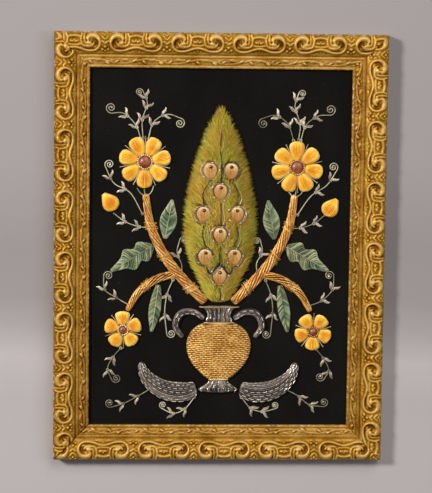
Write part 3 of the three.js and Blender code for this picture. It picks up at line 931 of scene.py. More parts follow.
def tube(tree, inputs, lines, radius):
    """Round tubes along lines, closed at their ends."""
    section = {"Resolution": inputs["Sides"], "Radius": 1.0}
    outline = add_node(tree, "GeometryNodeCurvePrimitiveCircle", section).outputs["Curve"]
    swept = {"Curve": lines, "Profile Curve": outline, "Scale": radius, "Fill Caps": True}
    return add_node(tree, "GeometryNodeCurveToMesh", swept).outputs[0]


def stored(tree, geometry, name, value):
    """The geometry with a named number on each of its points, for a finish to read."""
    told = {"Geometry": geometry, "Name": name, "Value": value}
    kind = "GeometryNodeStoreNamedAttribute"
    return add_node(tree, kind, told, data_type="FLOAT", domain="POINT").outputs[0]


def read_value(tree, name, data_type="FLOAT"):
    return add_node(tree, "GeometryNodeInputNamedAttribute", {"Name": name}, data_type=data_type).outputs[0]


# %% [markdown]
# Laid thread is a smooth thread that lies on the cloth and is tied down by stitches too fine to see. A
# tube with five or six sides is enough at this size, and each thread brings its own radius.


# %% Laid thread
def laid_thread_tree():
    tree, inputs = new_tree("laid_thread", Sides=5)
    return end_tree(tree, inputs, tube(tree, inputs, lines_of(tree, inputs), read_value(tree, "radius")))


LAID_THREAD = laid_thread_tree()

# %% [markdown]
# Purl is a tight spring of fine wire, cut to length and sewn on like a long bead. Modelling the spring
# would cost a hundred times the faces. The eye only sees its ribs, so the line is cut into steps of half a
# turn, and every second point of the tube is thinner.


# %% Purl wire
def purl_tree():
    tree, inputs = new_tree("purl_wire", Pitch=0.0007, Radius=0.0006, Groove=0.25, Sides=5)
    half_turn = math_node(tree, "MULTIPLY", inputs["Pitch"], 0.5)
    steps = stepped(tree, lines_of(tree, inputs), half_turn)
    odd = math_node(tree, "MODULO", add_node(tree, "GeometryNodeInputIndex").outputs[0], 2)
    thinner = math_node(tree, "MULTIPLY", odd, inputs["Groove"])
    radius = math_node(tree, "MULTIPLY", inputs["Radius"], math_node(tree, "SUBTRACT", 1.0, thinner))
    steps = stored(tree, steps, "groove", odd)
    return end_tree(tree, inputs, tube(tree, inputs, steps, radius))


PURL_WIRE = purl_tree()

# %% [markdown]
# Beads are strung and sewn down in rows. A row is one bead repeated at an even spacing along a line, so it
# is made by instances, which are realized at the end. A bead has only a few dozen faces.


# %% Rows of beads
def bead_tree():
    tree, inputs = new_tree("bead_row", Spacing=0.0015, Radius=0.0006)
    points = stepped(tree, lines_of(tree, inputs), inputs["Spacing"])
    ball = {"Segments": 8, "Rings": 5, "Radius": inputs["Radius"]}
    bead = add_node(tree, "GeometryNodeMeshUVSphere", ball).outputs["Mesh"]
    strung = {"Points": points, "Instance": bead}
    return end_tree(tree, inputs, add_node(tree, "GeometryNodeInstanceOnPoints", strung).outputs[0])


BEAD_ROW = bead_tree()

# %% [markdown]
# Silk pile is floss left long and combed. Hair curves would look right but the export drops them, so each
# strand is a three-sided spike that leans the way its attribute "lean" points, with a little straying. It
# carries its own shade, and how near each point is to its tip.


# %% Silk pile
def random_value(tree, low, high, seed):
    """A random number or vector between two limits, for each point."""
    is_vector = isinstance(low, tuple)
    first = 0 if is_vector else 2
    inputs = {first: low, first + 1: high, "Seed": seed}
    kind = "FLOAT_VECTOR" if is_vector else "FLOAT"
    return add_node(tree, "FunctionNodeRandomValue", inputs, data_type=kind).outputs[0 if is_vector else 1]


def pile_tree():
    """Fine spikes scattered over a surface."""
    tree, inputs = new_tree("silk_pile", Density=4500000.0, Length=0.006, Thickness=0.0003, Seed=3)
    scatter = {"Mesh": inputs["Geometry"], "Density": inputs["Density"], "Seed": inputs["Seed"]}
    points = add_node(tree, "GeometryNodeDistributePointsOnFaces", scatter).outputs["Points"]
    lean = read_value(tree, "lean", "FLOAT_VECTOR")
    stray = random_value(tree, (-0.22,) * 3, (0.22,) * 3, inputs["Seed"])
    aim = add_node(tree, "ShaderNodeVectorMath", {0: lean, 1: stray}, operation="ADD").outputs[0]
    turn = add_node(tree, "FunctionNodeAlignRotationToVector", {"Vector": aim}, axis="Z").outputs[0]
    size = random_value(tree, 0.7, 1.25, inputs["Seed"])
    spike = {
        "Vertices": 3, "Side Segments": 1, "Radius Top": 0.0,
        "Radius Bottom": inputs["Thickness"], "Depth": inputs["Length"],
    }
    strand = add_node(tree, "GeometryNodeMeshCone", spike, fill_type="NONE").outputs["Mesh"]
    place = add_node(tree, "GeometryNodeInputPosition").outputs[0]
    height = add_node(tree, "ShaderNodeSeparateXYZ", {0: place}).outputs["Z"]
    strand = stored(tree, strand, "tip", math_node(tree, "DIVIDE", height, inputs["Length"]))
    points = stored(tree, points, "shade", random_value(tree, 0.0, 1.0, 8))
    planted = {"Points": points, "Instance": strand, "Rotation": turn, "Scale": size}
    return end_tree(tree, inputs, add_node(tree, "GeometryNodeInstanceOnPoints", planted).outputs[0])


SILK_PILE = pile_tree()

# %% [markdown]
# A carrier is a mesh of loose edges, one chain for each thread. It may carry a radius and a shade for each
# thread, so that no two threads are quite alike. One short function for each kind of needlework makes the
# carrier, runs the tree and seats the result.


# %% Carriers and pieces of needlework
def make_carrier(name, lines, radius=0.4, shades=None, closed=False):
    """Chains of edges, with each thread's radius in millimetres and a shade from 0 to 1."""
    dice = np.random.default_rng(len(lines))
    shades = dice.uniform(0, 1, len(lines)) if shades is None else shades
    edges, tones = [], []
    start = 0
    for line, shade in zip(lines, shades):
        count = len(line)
        edges += [(start + i, start + i + 1) for i in range(count - 1)]
        if closed:
            edges.append((start + count - 1, start))
        tones.append(np.broadcast_to(shade, (count,)))
        start += count
    values = {"radius": np.full(start, radius * MM), "shade": np.concatenate(tones)}
    return make_object(name, np.concatenate(lines), edges=edges, values=values)


def lay_threads(name, slot, material, lines, radius, shades=None, sides=5):
    carrier = make_carrier(name, lines, radius, shades)
    seat(work_tree(carrier, LAID_THREAD, material, Sides=sides), slot)


def sew_purl(name, slot, material, lines, radius, pitch, closed=False, groove=0.25):
    carrier = make_carrier(name, lines, closed=closed)
    sizes = {"Pitch": pitch * MM, "Radius": radius * MM, "Groove": groove}
    seat(work_tree(carrier, PURL_WIRE, material, **sizes), slot)


def sew_beads(name, slot, material, lines, radius, spacing, closed=False):
    carrier = make_carrier(name, lines, closed=closed)
    seat(work_tree(carrier, BEAD_ROW, material, Radius=radius * MM, Spacing=spacing * MM), slot)

# %% [markdown]
# ## Finishes of thread, silk and metal
#
# Satin silk has a soft gloss along its fibres, and metal thread is bright but broken up by its windings.
# Both get a ramp of their own dye or metal colours, driven by the thread's shade and by slow patches of
# fading. The cords and wires made here are used all over the picture, and each motif adds its own below.


# %% Finish of a thread
def thread_finish(
    name, dark, middle, light, patches=None, patch_scale=60, grain=2200, streak=1.0, tip_painted_light=0.0,
    **constants,
):
    """Dye or metal from dark to light, driven by the thread's shade, by fading, and by painted light near its
    tip.

    patches is a second set of dark, middle and light that shows in places.
    """
    material, tree, shader = new_finish(name, **constants)
    tone = spread(tree, attribute(tree, "shade"), 0, 1, 0.12, 0.88)
    fading = spread(tree, noise(tree, 90, 3, (1, streak, 1)), 0.3, 0.7, -0.2, 0.2)
    lit = math_node(tree, "ADD", tone, fading)
    # Painted light: strands of pile are lighter towards their tips and darker at their roots.
    lit = math_node(tree, "ADD", lit, spread(tree, attribute(tree, "tip"), 0, 1, 0, tip_painted_light))
    fibres = noise(tree, grain, 2)
    uneven = math_node(tree, "ADD", lit, spread(tree, fibres, 0.3, 0.7, -0.12, 0.12))
    colour = ramp(tree, uneven, (0.05, linear(*dark)), (0.5, linear(*middle)), (0.95, linear(*light)))
    if patches:
        other = ramp(tree, uneven, *zip((0.05, 0.5, 0.95), (linear(*dye) for dye in patches)))
        colour = blend_colours(tree, spread(tree, noise(tree, patch_scale), 0.42, 0.62), colour, other)
    tree.links.new(colour, shader.inputs["Base Color"])
    bump(tree, shader, fibres, 0.08)
    return material


SILK = {"Roughness": 0.5, "Sheen_Weight": 0.15, "Sheen_Roughness": 0.4}
METAL_THREAD = {"Roughness": 0.38, "Metallic": 0.45}
BRIGHT_WIRE = {"Roughness": 0.28, "Metallic": 0.8}
FELT = {"Roughness": 0.9}
PALE_CORD = thread_finish("pale_gold_cord", (160, 124, 80), (206, 174, 128), (238, 216, 176), **METAL_THREAD)
SILVER_CHIP = thread_finish("silver_chips", (150, 140, 126), (202, 192, 176), (240, 232, 216), **BRIGHT_WIRE)
SILVER_PURL = thread_finish("silver_purl", (96, 90, 70), (154, 147, 120), (206, 199, 170), **METAL_THREAD)
SILVER_LEAF = thread_finish("silver_leaf", (116, 102, 86), (176, 160, 140), (224, 210, 190), **METAL_THREAD)

# %% [markdown]
# ## The urn, its handles and the scrolls at its foot
#
# The urn stands at the foot of the picture: a gold bowl between a slate foot and neck, with two handles
# and two scrolls. All of them are pads over felt of a colour near their thread's, so that no white shows
# between the threads. Each is drawn once, and the left ones are the right ones turned over.

# %% Shapes of the urn
GOLD_THREAD = thread_finish("gold_thread", (124, 74, 16), (191, 136, 56), (236, 192, 112), **METAL_THREAD)
GOLD_FELT = thread_finish("gold_padding", (84, 48, 12), (118, 72, 22), (146, 92, 32), **FELT)
SLATE_THREAD = thread_finish("slate_thread", (52, 44, 44), (104, 92, 86), (164, 150, 138), **METAL_THREAD)
SLATE_FELT = thread_finish("slate_padding", (20, 17, 18), (34, 29, 30), (48, 42, 42), **FELT)
# Each row of a shape is a point of its middle line, X and Y, and half of its width there.
SLATE_PADS = {
    "urn_foot": {"crown": 3.0, "rows": [(0, -141, 19), (0, -137, 17.5), (0, -132, 10), (0, -128.6, 9)]},
    "urn_neck": {"crown": 3.0, "rows": [(0, -72.4, 14), (0, -66, 10.5), (0, -60, 12.5), (0, -56, 18)]},
    "urn_handle_right": {
        "crown": 2.0,
        "rows": [(14.6, -68.8, 1.6), (25, -62.5, 2.3), (37, -64, 2.6), (42, -76, 2.4), (35, -87, 1.5)],
    },
    "base_scroll_right": {
        "crown": 3.0,
        "rows": [(21.5, -137, 6), (36, -141, 9), (54, -138, 8.5), (69, -127, 6), (76, -112, 1.6)],
    },
}
URN_BOWL = [(0, -128, 9), (0, -120, 18), (0, -108, 27), (0, -94, 30), (0, -82, 26), (0, -73, 16)]
BOWL_CROWN = 4.4


def on_side(rows, side):
    """A shape that is drawn for the right side, on the side that is named."""
    return [(-row[0], *row[1:]) for row in rows] if side == "left" else rows


for name in ("urn_handle", "base_scroll"):
    right = SLATE_PADS[f"{name}_right"]
    SLATE_PADS[f"{name}_left"] = {"crown": right["crown"], "rows": on_side(right["rows"], "left")}
for name, pad in SLATE_PADS.items():
    make_pad(name, pad["rows"], pad["crown"], SLATE_FELT, "slate_thread")
make_pad("urn_bowl", URN_BOWL, BOWL_CROWN, GOLD_FELT, "gold_thread")

# %% [markdown]
# The bowl is basketwork: gold thread is laid to and fro over the padding and tied down in rows, and the
# ties of each row fall between those of the row before. The thread rises between its ties, so the surface
# looks like wicker, and it is painted paler where it rises and darker where it dips to a tie. A woven
# pattern in the bump would vanish at the bowl's rounded edges.

# %% Basketwork
rng = np.random.default_rng(7)
BASKET_PITCH = 1.9
BASKET_RADIUS = 0.9
TIE_SPACING = 4.6
BASKET_HEAVE = 0.6
THREAD_STEP = 0.7
BOW = 1.6


def basket_lines(form):
    """Rows across the bowl that waver a little, bowed by its roundness, and rise between their ties, painted
    paler as they rise.
    """
    lines, shades = [], []
    rows = np.arange(0.9, form["length"] + 1.2, BASKET_PITCH)
    for k, along in enumerate(rows):
        half = float(np.interp(along, form["along"], form["half"]))
        angle = np.linspace(-1.5, 1.5, max(4, round(2.6 * half / THREAD_STEP)))
        across = half * np.sin(angle)
        phase = k % 2 / 2 + rng.uniform(-0.08, 0.08) + 0.07 * wander(across, k * 9, 12, seed=31)
        heave = np.abs(np.sin(math.pi * (across / TIE_SPACING + phase))) ** 0.7
        wavering = 0.4 * wander(across, along, 15, seed=32)
        bowed = np.clip(along - BOW * (1 - (across / 30) ** 2) + wavering, 0.6, form["length"] - 0.6)
        lines.append(on_pad(form, bowed, angle, BASKET_RADIUS * 0.3 + BASKET_HEAVE * heave))
        # Painted light and shade: a thread is paler where it rises and darker where it dips to its ties.
        shades.append(np.clip(0.1 + 0.8 * heave + 0.2 * wander(across, along, 5, seed=33), 0, 1))
    return lines, shades


lines, shades = basket_lines(pads["urn_bowl"])
lay_threads(
    "urn_bowl_basketwork", "gold_thread", GOLD_THREAD, lines,
    radius=BASKET_RADIUS, shades=shades, sides=6,
)

# %% [markdown]
# The other parts of the urn are laid lengthwise in slate thread, with short silver chips of cut purl sewn
# among them in staggered rows. The threads keep their angle over the pad, so they crowd together where it
# narrows, as couched threads do.

# %% Lengthwise threads and chips
CHIP_LENGTH = 3.6
CHIP_GAP = 2.6
CHIP_LIFT = 1.05
NARROWEST_FOR_CHIPS = 1.3


def lengthwise_lines(form, pitch, above=0.2, step=1.6, limit=1.45, margin=0.3):
    """Threads side by side down a pad, as many as its widest part needs."""
    girth = 2 * (form["half"].max() + form["lift"].max() * 0.4)
    angles = np.linspace(-limit, limit, max(3, round(girth / pitch)))
    along = np.linspace(margin, form["length"] - margin, max(4, round(form["length"] / step)))
    return [on_pad(form, along, angle, above) for angle in angles]


def chip_lines(form, across):
    """Short chips in rows, each row shifted by half a chip from the one beside it."""
    lines = []
    widest = 1.15 if across > 2 else 0.45
    spacing = CHIP_LENGTH + CHIP_GAP
    for k, angle in enumerate(np.linspace(-widest, widest, across)):
        for start in np.arange(1.2 + (k % 2) * spacing / 2, form["length"] - CHIP_LENGTH, spacing):
            if np.interp(start, form["along"], form["half"]) > NARROWEST_FOR_CHIPS:
                lines.append(on_pad(form, np.linspace(start, start + CHIP_LENGTH, 4), angle, CHIP_LIFT))
    return lines


CHIPS_ACROSS = {"urn_foot": 9, "urn_neck": 7, "urn_handle": 2, "base_scroll": 7}
for name in SLATE_PADS:
    form = pads[name]
    lay_threads(f"{name}_threads", "slate_thread", SLATE_THREAD, lengthwise_lines(form, 1.35), radius=0.6)
    rows = CHIPS_ACROSS[name.replace("_left", "").replace("_right", "")]
    sew_purl(f"{name}_chips", "slate_thread", SILVER_CHIP, chip_lines(form, rows), radius=0.62, pitch=0.8)

# %% [markdown]
# A cord is sewn round each pad to hide where its threads turn back, and thicker cords mark the urn's mouth,
# neck and foot. They follow the pad's own edge, so the line comes from its form.

# %% Cords round the edges
EDGE_ANGLE = 1.57
# Each collar is a height in the picture, half of its width, and how far it rises over the urn.
COLLARS = [(-57.2, 19.0, 3.2), (-72.6, 14.4, 3.0), (-128.3, 9.2, 2.8)]
COLLAR_STEPS = 24


def edge_line(form, outside=0.3, lift=0.1, step=1.0):
    """A closed line round a pad, just above the velvet: up its right side and down its left side."""
    along = np.linspace(0.4, form["length"] - 0.4, max(6, round(form["length"] / step)))
    right = on_pad(form, along, -EDGE_ANGLE, outside)
    left = on_pad(form, along[::-1], EDGE_ANGLE, outside)
    line = np.concatenate([right, left])
    line[:, 2] = form["base"] + lift
    return line


bowl_edge = [edge_line(pads["urn_bowl"], 0.5, 0.4)]
sew_purl("urn_bowl_cord", "gold_thread", PALE_CORD, bowl_edge, radius=0.75, pitch=1.1, closed=True)
slate_edges = [edge_line(pads[name], 0.3, 0.2) for name in SLATE_PADS]
sew_purl("urn_cords", "slate_thread", SILVER_PURL, slate_edges, radius=0.42, pitch=0.7, closed=True)
collar_lines = []
for y, half, rise in COLLARS:
    angle = np.linspace(-1.5, 1.5, COLLAR_STEPS)
    level = np.full(COLLAR_STEPS, y)
    collar_lines.append(np.stack([half * np.sin(angle), level, 8.5 + rise * np.cos(angle)], axis=1))
sew_purl("urn_collars", "gold_thread", PALE_CORD, collar_lines, radius=0.9, pitch=1.2)

# %% [markdown]
# ## The cypress and its fruit
#
# The tall padded shape is covered with floss silk left long and combed outwards, like plush, and small
# satin fruits sit in pockets in it. The pocket is pressed into the padding's mesh, so the pad needs points
# close together and has more of them over its width than the others.

# %% Padding of the cypress
GREEN_FELT = thread_finish("olive_padding", (60, 52, 8), (90, 78, 18), (118, 104, 34), **FELT)
CYPRESS = [
    (0, -53, 7), (0, -36, 15), (0, -12, 26), (0, 16, 30.5), (0, 46, 28), (0, 76, 21.5), (0, 104, 12.5),
    (0, 132, 1.2),
]
CYPRESS_FOOT = -53
CYPRESS_CROWN = 3.4
FRUIT_PLACES = [(0, -27), (-14, -8), (14, -8), (0, 13), (-16, 33), (16, 33), (0, 55), (-10, 75), (10, 75)]
FRUIT_LENGTH = 17
FRUIT_HALF = 6.4
FRUIT_BASE = 9.5
POCKET_FLOOR = 9.2
# A profile's rows are shares of the shape's length and of its half-width.
PEAR = [(0, 0.3), (0.3, 0.86), (0.66, 1), (1, 0.42)]


def grown(profile, at, turn, length, half):
    """Rows of a shape that grows from a point, in a direction in degrees."""
    dx, dy = heading_of(turn) * length
    return [(at[0] + dx * reach, at[1] + dy * reach, half * width) for reach, width in profile]


def grow_fruit(x, y):
    return grown(PEAR, (x, y - FRUIT_LENGTH / 2), 90, FRUIT_LENGTH, FRUIT_HALF)


def in_fruit(x, y, margin):
    """Whether a spot lies inside a fruit's outline, grown by a margin."""
    inside = np.zeros(np.shape(x), bool)
    for at in FRUIT_PLACES:
        line = smooth_line(grow_fruit(*at))
        bottom, top = line[0, 1], line[-1, 1]
        beside = (y >= bottom) & (y <= top)
        half = np.interp(y, line[:, 1], line[:, 2]) + margin * np.where(beside, 1, 0.7)
        inside |= (np.abs(x - at[0]) < half) & (y > bottom - margin) & (y < top + margin)
    return inside


def press_pockets(pad):
    """Pushes the padding down under each fruit."""
    points = np.empty(len(pad.data.vertices) * 3)
    pad.data.vertices.foreach_get("co", points)
    points = points.reshape(-1, 3) / MM
    pressed = in_fruit(points[:, 0], points[:, 1], 0.6)
    points[:, 2] = np.where(pressed, np.minimum(points[:, 2], POCKET_FLOOR), points[:, 2])
    pad.data.vertices.foreach_set("co", (points * MM).ravel())
    print(int(pressed.sum()), "points lie under fruit")


make_pad("cypress", CYPRESS, CYPRESS_CROWN, GREEN_FELT, "green_silk", points_over=61)
press_pockets(bpy.data.objects["cypress_padding"])

# %% [markdown]
# Thousands of fine spikes, planted at random and leaning along the comb's strokes, look like floss from
# every side, where a bumpy green surface would keep a hard edge. No pile grows where a fruit sits. The
# carrier is the pad's own surface, with the lean of the pile at each point.

# %% Pile of the cypress
# The pile gets painted light at its tips, and is darker at its roots.
GREEN_PILE = thread_finish(
    "olive_silk_pile", (70, 62, 2), (146, 132, 22), (196, 184, 72),
    patches=((84, 58, 2), (160, 124, 22), (204, 170, 68)), patch_scale=45, grain=700, streak=0.4,
    tip_painted_light=0.3, Roughness=0.6, Specular_IOR_Level=0.25,
)
PILE_LENGTH = 7.5
PILE_DENSITY = 3.4
PILE_THICKNESS = 0.4
PILE_LIMIT = 1.5
PILE_MARGIN = 2.6
COMBED_UP = 2.2


def make_pile_carrier(form):
    """The pad's surface without the spots where fruit sits, and the lean of the pile on it."""
    along = np.arange(0.6, form["length"] - 0.2, 1.1)
    angles = np.linspace(-PILE_LIMIT, PILE_LIMIT, 57)
    along, angle = np.meshgrid(along, angles, indexing="ij")
    points = on_pad(form, along, angle)
    x, y = points[..., 0], points[..., 1]
    half = np.interp(along, form["along"], form["half"])
    outward = np.sin(angle) * np.minimum(1, half / 11) ** 1.5
    locks = 0.3 * wander(x, y, 16, seed=21) + 0.3 * wander(x, y, 6, seed=22)
    sideways = -1.2 * outward + locks * np.minimum(1, half / 8)
    lean = np.stack([sideways, 1.0 - 0.3 * np.abs(outward), 0.36 * np.cos(angle) + 0.1], axis=-1)
    lean /= np.linalg.norm(lean, axis=-1, keepdims=True)
    faces = grid_faces(*along.shape)[:, ::-1]
    middle = points.reshape(-1, 3)[faces].mean(axis=1)
    faces = faces[~in_fruit(middle[:, 0], middle[:, 1] + COMBED_UP, PILE_MARGIN)]
    return make_object("cypress_pile", points, faces.tolist(), values={"lean": lean})


pile = make_pile_carrier(pads["cypress"])
strand_sizes = {"Length": PILE_LENGTH * MM, "Thickness": PILE_THICKNESS * MM}
work_tree(pile, SILK_PILE, GREEN_PILE, Density=PILE_DENSITY / MM**2, **strand_sizes)
seat(pile, "green_silk")

# %% [markdown]
# Each fruit is a small firm pad under satin stitch, paler towards its top. One piece holds the threads of
# all nine, because they are the same thread and never move apart.

# %% Fruit
PEACH_SILK = thread_finish("peach_silk", (162, 102, 34), (200, 152, 82), (234, 206, 152), **SILK)
PEACH_FELT = thread_finish("peach_padding", (150, 96, 44), (176, 120, 62), (196, 142, 84), **FELT)
fruit_names = [f"fruit_{k}" for k in range(1, 1 + len(FRUIT_PLACES))]
for name, at in zip(fruit_names, FRUIT_PLACES):
    make_pad(name, grow_fruit(*at), 2.8, PEACH_FELT, "peach_silk", base=FRUIT_BASE)
fruit_threads = [line for name in fruit_names for line in lengthwise_lines(pads[name], 1.2, 0.1, 1.4)]
fruit_shades = [np.linspace(0.1, 1.0, len(line)) ** 1.3 + 0.1 * rng.uniform(-1, 1) for line in fruit_threads]
lay_threads("fruit_satin", "peach_silk", PEACH_SILK, fruit_threads, radius=0.68, shades=fruit_shades)

# %% [markdown]
# A ring of umber wire and a finer silver one lie round each fruit, on the slope of the cypress, so their
# height is looked up from its form. Silver beads sit on the rings, and one dark bead on each fruit.

# %% Rings and beads of the fruit
UMBER_WIRE = thread_finish("umber_wire", (70, 48, 30), (116, 86, 58), (164, 132, 94), **METAL_THREAD)
POLISHED = {"Roughness": 0.18, "Coat_Weight": 0.6}
DARK_BEAD = thread_finish("dark_bead", (34, 16, 8), (62, 30, 16), (100, 54, 32), **POLISHED)


def cypress_height(x, y):
    """How high the cypress' padding stands at a spot, without its pile."""
    form = pads["cypress"]
    half, lift = (np.interp(y - CYPRESS_FOOT, form["along"], form[key]) for key in ("half", "lift"))
    return MOTIF_BASE + EDGE_RISE + lift * np.sqrt(np.clip(1 - (x / half) ** 2, 0, 1))


def rings_round(outside, above):
    """A ring round each fruit, at a distance outside it and above the cypress."""
    rings = []
    for name in fruit_names:
        line = edge_line(pads[name], outside)
        line[:, 2] = cypress_height(line[:, 0], line[:, 1]) + above
        rings.append(even_line(np.vstack([line, line[:1]]), 1.0)[:-1])
    return rings


def dot(x, y, z):
    """A chain so short that it takes one bead."""
    return np.array([(x, y, z), (x + 0.02, y, z)])


sew_purl("fruit_rings", "peach_silk", UMBER_WIRE, rings_round(1.6, 1.7), radius=0.9, pitch=1.2, closed=True)
sew_purl(
    "fruit_outer_rings", "slate_thread", SILVER_PURL, rings_round(2.9, 1.5),
    radius=0.45, pitch=0.8, closed=True,
)
sew_beads(
    "fruit_silver_beads", "slate_thread", SILVER_CHIP, rings_round(2.2, 2.6),
    radius=0.95, spacing=12.5, closed=True,
)
dark_dots = [dot(x + 0.3, y + 4.0, 13.0) for x, y in FRUIT_PLACES]
sew_beads("fruit_dark_beads", "garnet_stone", DARK_BEAD, dark_dots, radius=1.95, spacing=5)

# %% [markdown]
# Dark ribbed wires wind up the cypress from fruit to fruit, each with a bright one that wanders beside it.
# They lie on the pile, so they are drawn flat and lifted by the height of the padding under them.

# %% Wires of the cypress
DARK_WIRE = thread_finish("dark_wire", (20, 17, 8), (44, 38, 20), (84, 74, 46), **METAL_THREAD)
STALKS = [
    [(0, -50), (1.2, -44), (-0.6, -38)],
    [(0.4, -17), (-0.5, -8), (0.3, 3)],
    [(0, 23), (0.8, 34), (0, 45)],
    [(0, 65), (0.6, 80), (-0.4, 96), (0, 112)],
    [(-1, -14), (-9, -24), (-13, -17.5)],
    [(1, -14), (9, -24), (13, -17.5)],
    [(-14, 2), (-17, 12), (-16, 23)],
    [(14, 2), (17, 12), (16, 23)],
    [(-16, 43), (-17, 54), (-11, 65)],
    [(16, 43), (17, 54), (11, 65)],
]
stalk_lines, bright_lines = [], []
for stalk in STALKS:
    flat = smooth_line(stalk)
    height = cypress_height(flat[:, 0], flat[:, 1])
    stalk_lines.append(np.column_stack([flat, height + 2.5]))
    beside = flat + np.column_stack([2.6 + 0.9 * np.sin(np.arange(len(flat)) / 2.2), 0 * height])
    bright_lines.append(np.column_stack([beside, height + 2.8]))
sew_purl("cypress_stalks", "green_silk", DARK_WIRE, stalk_lines, radius=0.9, pitch=1.2, groove=0.35)
sew_purl("cypress_bright_wire", "slate_thread", SILVER_PURL, bright_lines, radius=0.42, pitch=0.8)

# %% [markdown]
# ## Stems
#
# The stems are padded cord covered with couched thread. Long stitches run down the stem with their ends
# staggered, and at intervals short stitches cross it and stick out as barbs on both sides. Each stem forks.
# The threads of its lower arm cover that arm, so it needs no padding of its own.

# %% Stems
AMBER_THREAD = thread_finish(
    "amber_thread", (146, 80, 16), (212, 144, 50), (246, 202, 120),
    patches=((170, 112, 48), (226, 172, 92), (250, 218, 156)), patch_scale=120, **METAL_THREAD,
)
AMBER_FELT = thread_finish("amber_padding", (140, 80, 20), (172, 104, 32), (196, 126, 48), **FELT)
STEM = [(13.4, -52.6, 3.4), (32, -34, 4.2), (53, -8, 4.0), (67, 22, 3.4), (72, 52, 2.4)]
LOW_STEM = [(40, -25, 2.6), (60, -30, 3.2), (78, -43, 2.8), (89, -61, 1.8)]
STITCH_LENGTH = 7.5
STITCH_PITCH = 1.25
STITCH_SKEW = 0.24


def staggered_lines(form):
    """Long stitches with staggered ends, a little askew to the stem."""
    lines = []
    girth = 2 * form["half"].max() + 2
    for k, angle in enumerate(np.linspace(-1.4, 1.4, round(girth / STITCH_PITCH))):
        start = -STITCH_LENGTH * ((k * 0.37) % 1)
        while start < form["length"] - 1:
            along = np.clip(np.linspace(start, start + STITCH_LENGTH, 7), 0.2, form["length"] - 0.2)
            if along[-1] - along[0] > 1.5:
                askew = angle + STITCH_SKEW * np.linspace(-1, 1, 7)
                lines.append(on_pad(form, along, askew, 0.25 + 0.1 * (k % 2)))
            start += STITCH_LENGTH
    return lines


def barb_lines(form, places, reach=2.2):
    """Short stitches across a stem, whose ends stick out by different lengths."""
    lines = []
    for place in places:
        for shift in np.arange(-3.6, 3.7, 1.2):
            angle = np.linspace(-1.7, 1.7, 11)
            along = place + shift + rng.uniform(-0.4, 0.4) + 1.6 * np.sin(angle)
            ends = np.where(angle < 0, rng.uniform(0.2, 1), rng.uniform(0.2, 1)) * reach
            lines.append(on_pad(form, along, angle, 0.7 + ends * (np.abs(angle) / 1.7) ** 5))
    return lines


stem_stitches, stem_barbs = [], []
for side in ("right", "left"):
    stem = make_pad(f"stem_{side}", on_side(STEM, side), 2.2, AMBER_FELT, "amber_thread")
    low = pad_form(on_side(LOW_STEM, side), 1.8)
    pads[f"low_stem_{side}"] = low
    stem_stitches += staggered_lines(stem) + staggered_lines(low)
    stem_barbs += barb_lines(stem, (20, 60, 92)) + barb_lines(low, (34,), 1.6)
stem_shades = 0.5 + 0.42 * rng.uniform(-1, 1, len(stem_stitches))
lay_threads("stem_stitches", "amber_thread", AMBER_THREAD, stem_stitches, radius=0.66, shades=stem_shades)
lay_threads("stem_barbs", "amber_thread", AMBER_THREAD, stem_barbs, radius=0.4)
stem_names = ("stem_left", "stem_right", "low_stem_left", "low_stem_right")
stem_edges = [edge_line(pads[name], 0.2, 0.4) for name in stem_names]
sew_purl("stem_cords", "amber_thread", PALE_CORD, stem_edges, radius=0.42, pitch=0.8, closed=True)

# %% [markdown]
# ## Flowers and buds
#
# Each petal is a small pad under satin stitch: threads side by side that run from the heart outwards,
# orange at the root and yellow at the tip. A fine pale cord is sewn round it. One function makes the petals
# of any flower, because they differ only in number, size and turn.

# %% Petals
YELLOW_SILK = thread_finish(
    "yellow_silk", (226, 152, 10), (246, 196, 44), (255, 226, 124),
    patches=((210, 122, 2), (238, 166, 16), (252, 204, 76)), patch_scale=110, **SILK,
)
YELLOW_FELT = thread_finish("yellow_padding", (196, 122, 10), (216, 146, 22), (232, 168, 44), **FELT)
PETAL = [(0, 0.34), (0.3, 0.72), (0.68, 1), (0.9, 0.78), (1, 0.3)]
PETAL_CROWN = 2.6
PETAL_WIDEST = 0.68
HEART_GAP = 0.3
PETAL_GAP = 1.0
FLOWERS = [
    {"name": "flower_left", "at": (-73, 83), "petals": 7, "heart": 6.6, "reach": 25, "turn": 12},
    {"name": "flower_right", "at": (74, 79), "petals": 7, "heart": 6.6, "reach": 25, "turn": 40},
    {"name": "blossom_left", "at": (-93, -80), "petals": 5, "heart": 4.6, "reach": 18, "turn": 20},
    {"name": "blossom_right", "at": (92, -81), "petals": 5, "heart": 4.6, "reach": 18, "turn": 52},
]
SATIN_PITCH = 1.15


def satin_lines(form):
    """Threads down a pad, with shades from root to tip that are deeper in the middle of the pad."""
    lines = lengthwise_lines(form, SATIN_PITCH, 0.15, 1.5, 1.5, 0.25)
    shades = []
    for k, line in enumerate(lines):
        share = np.linspace(0, 1, len(line))
        edge = abs(k / (len(lines) - 1) - 0.5) * 2
        deep = 0.45 * (1 - edge) * np.exp(-(((share - 0.4) / 0.24) ** 2))
        shades.append(np.clip(0.3 + 0.35 * share + 0.45 * edge**2 - deep + 0.2 * rng.uniform(-1, 1), 0, 1))
    return lines, shades


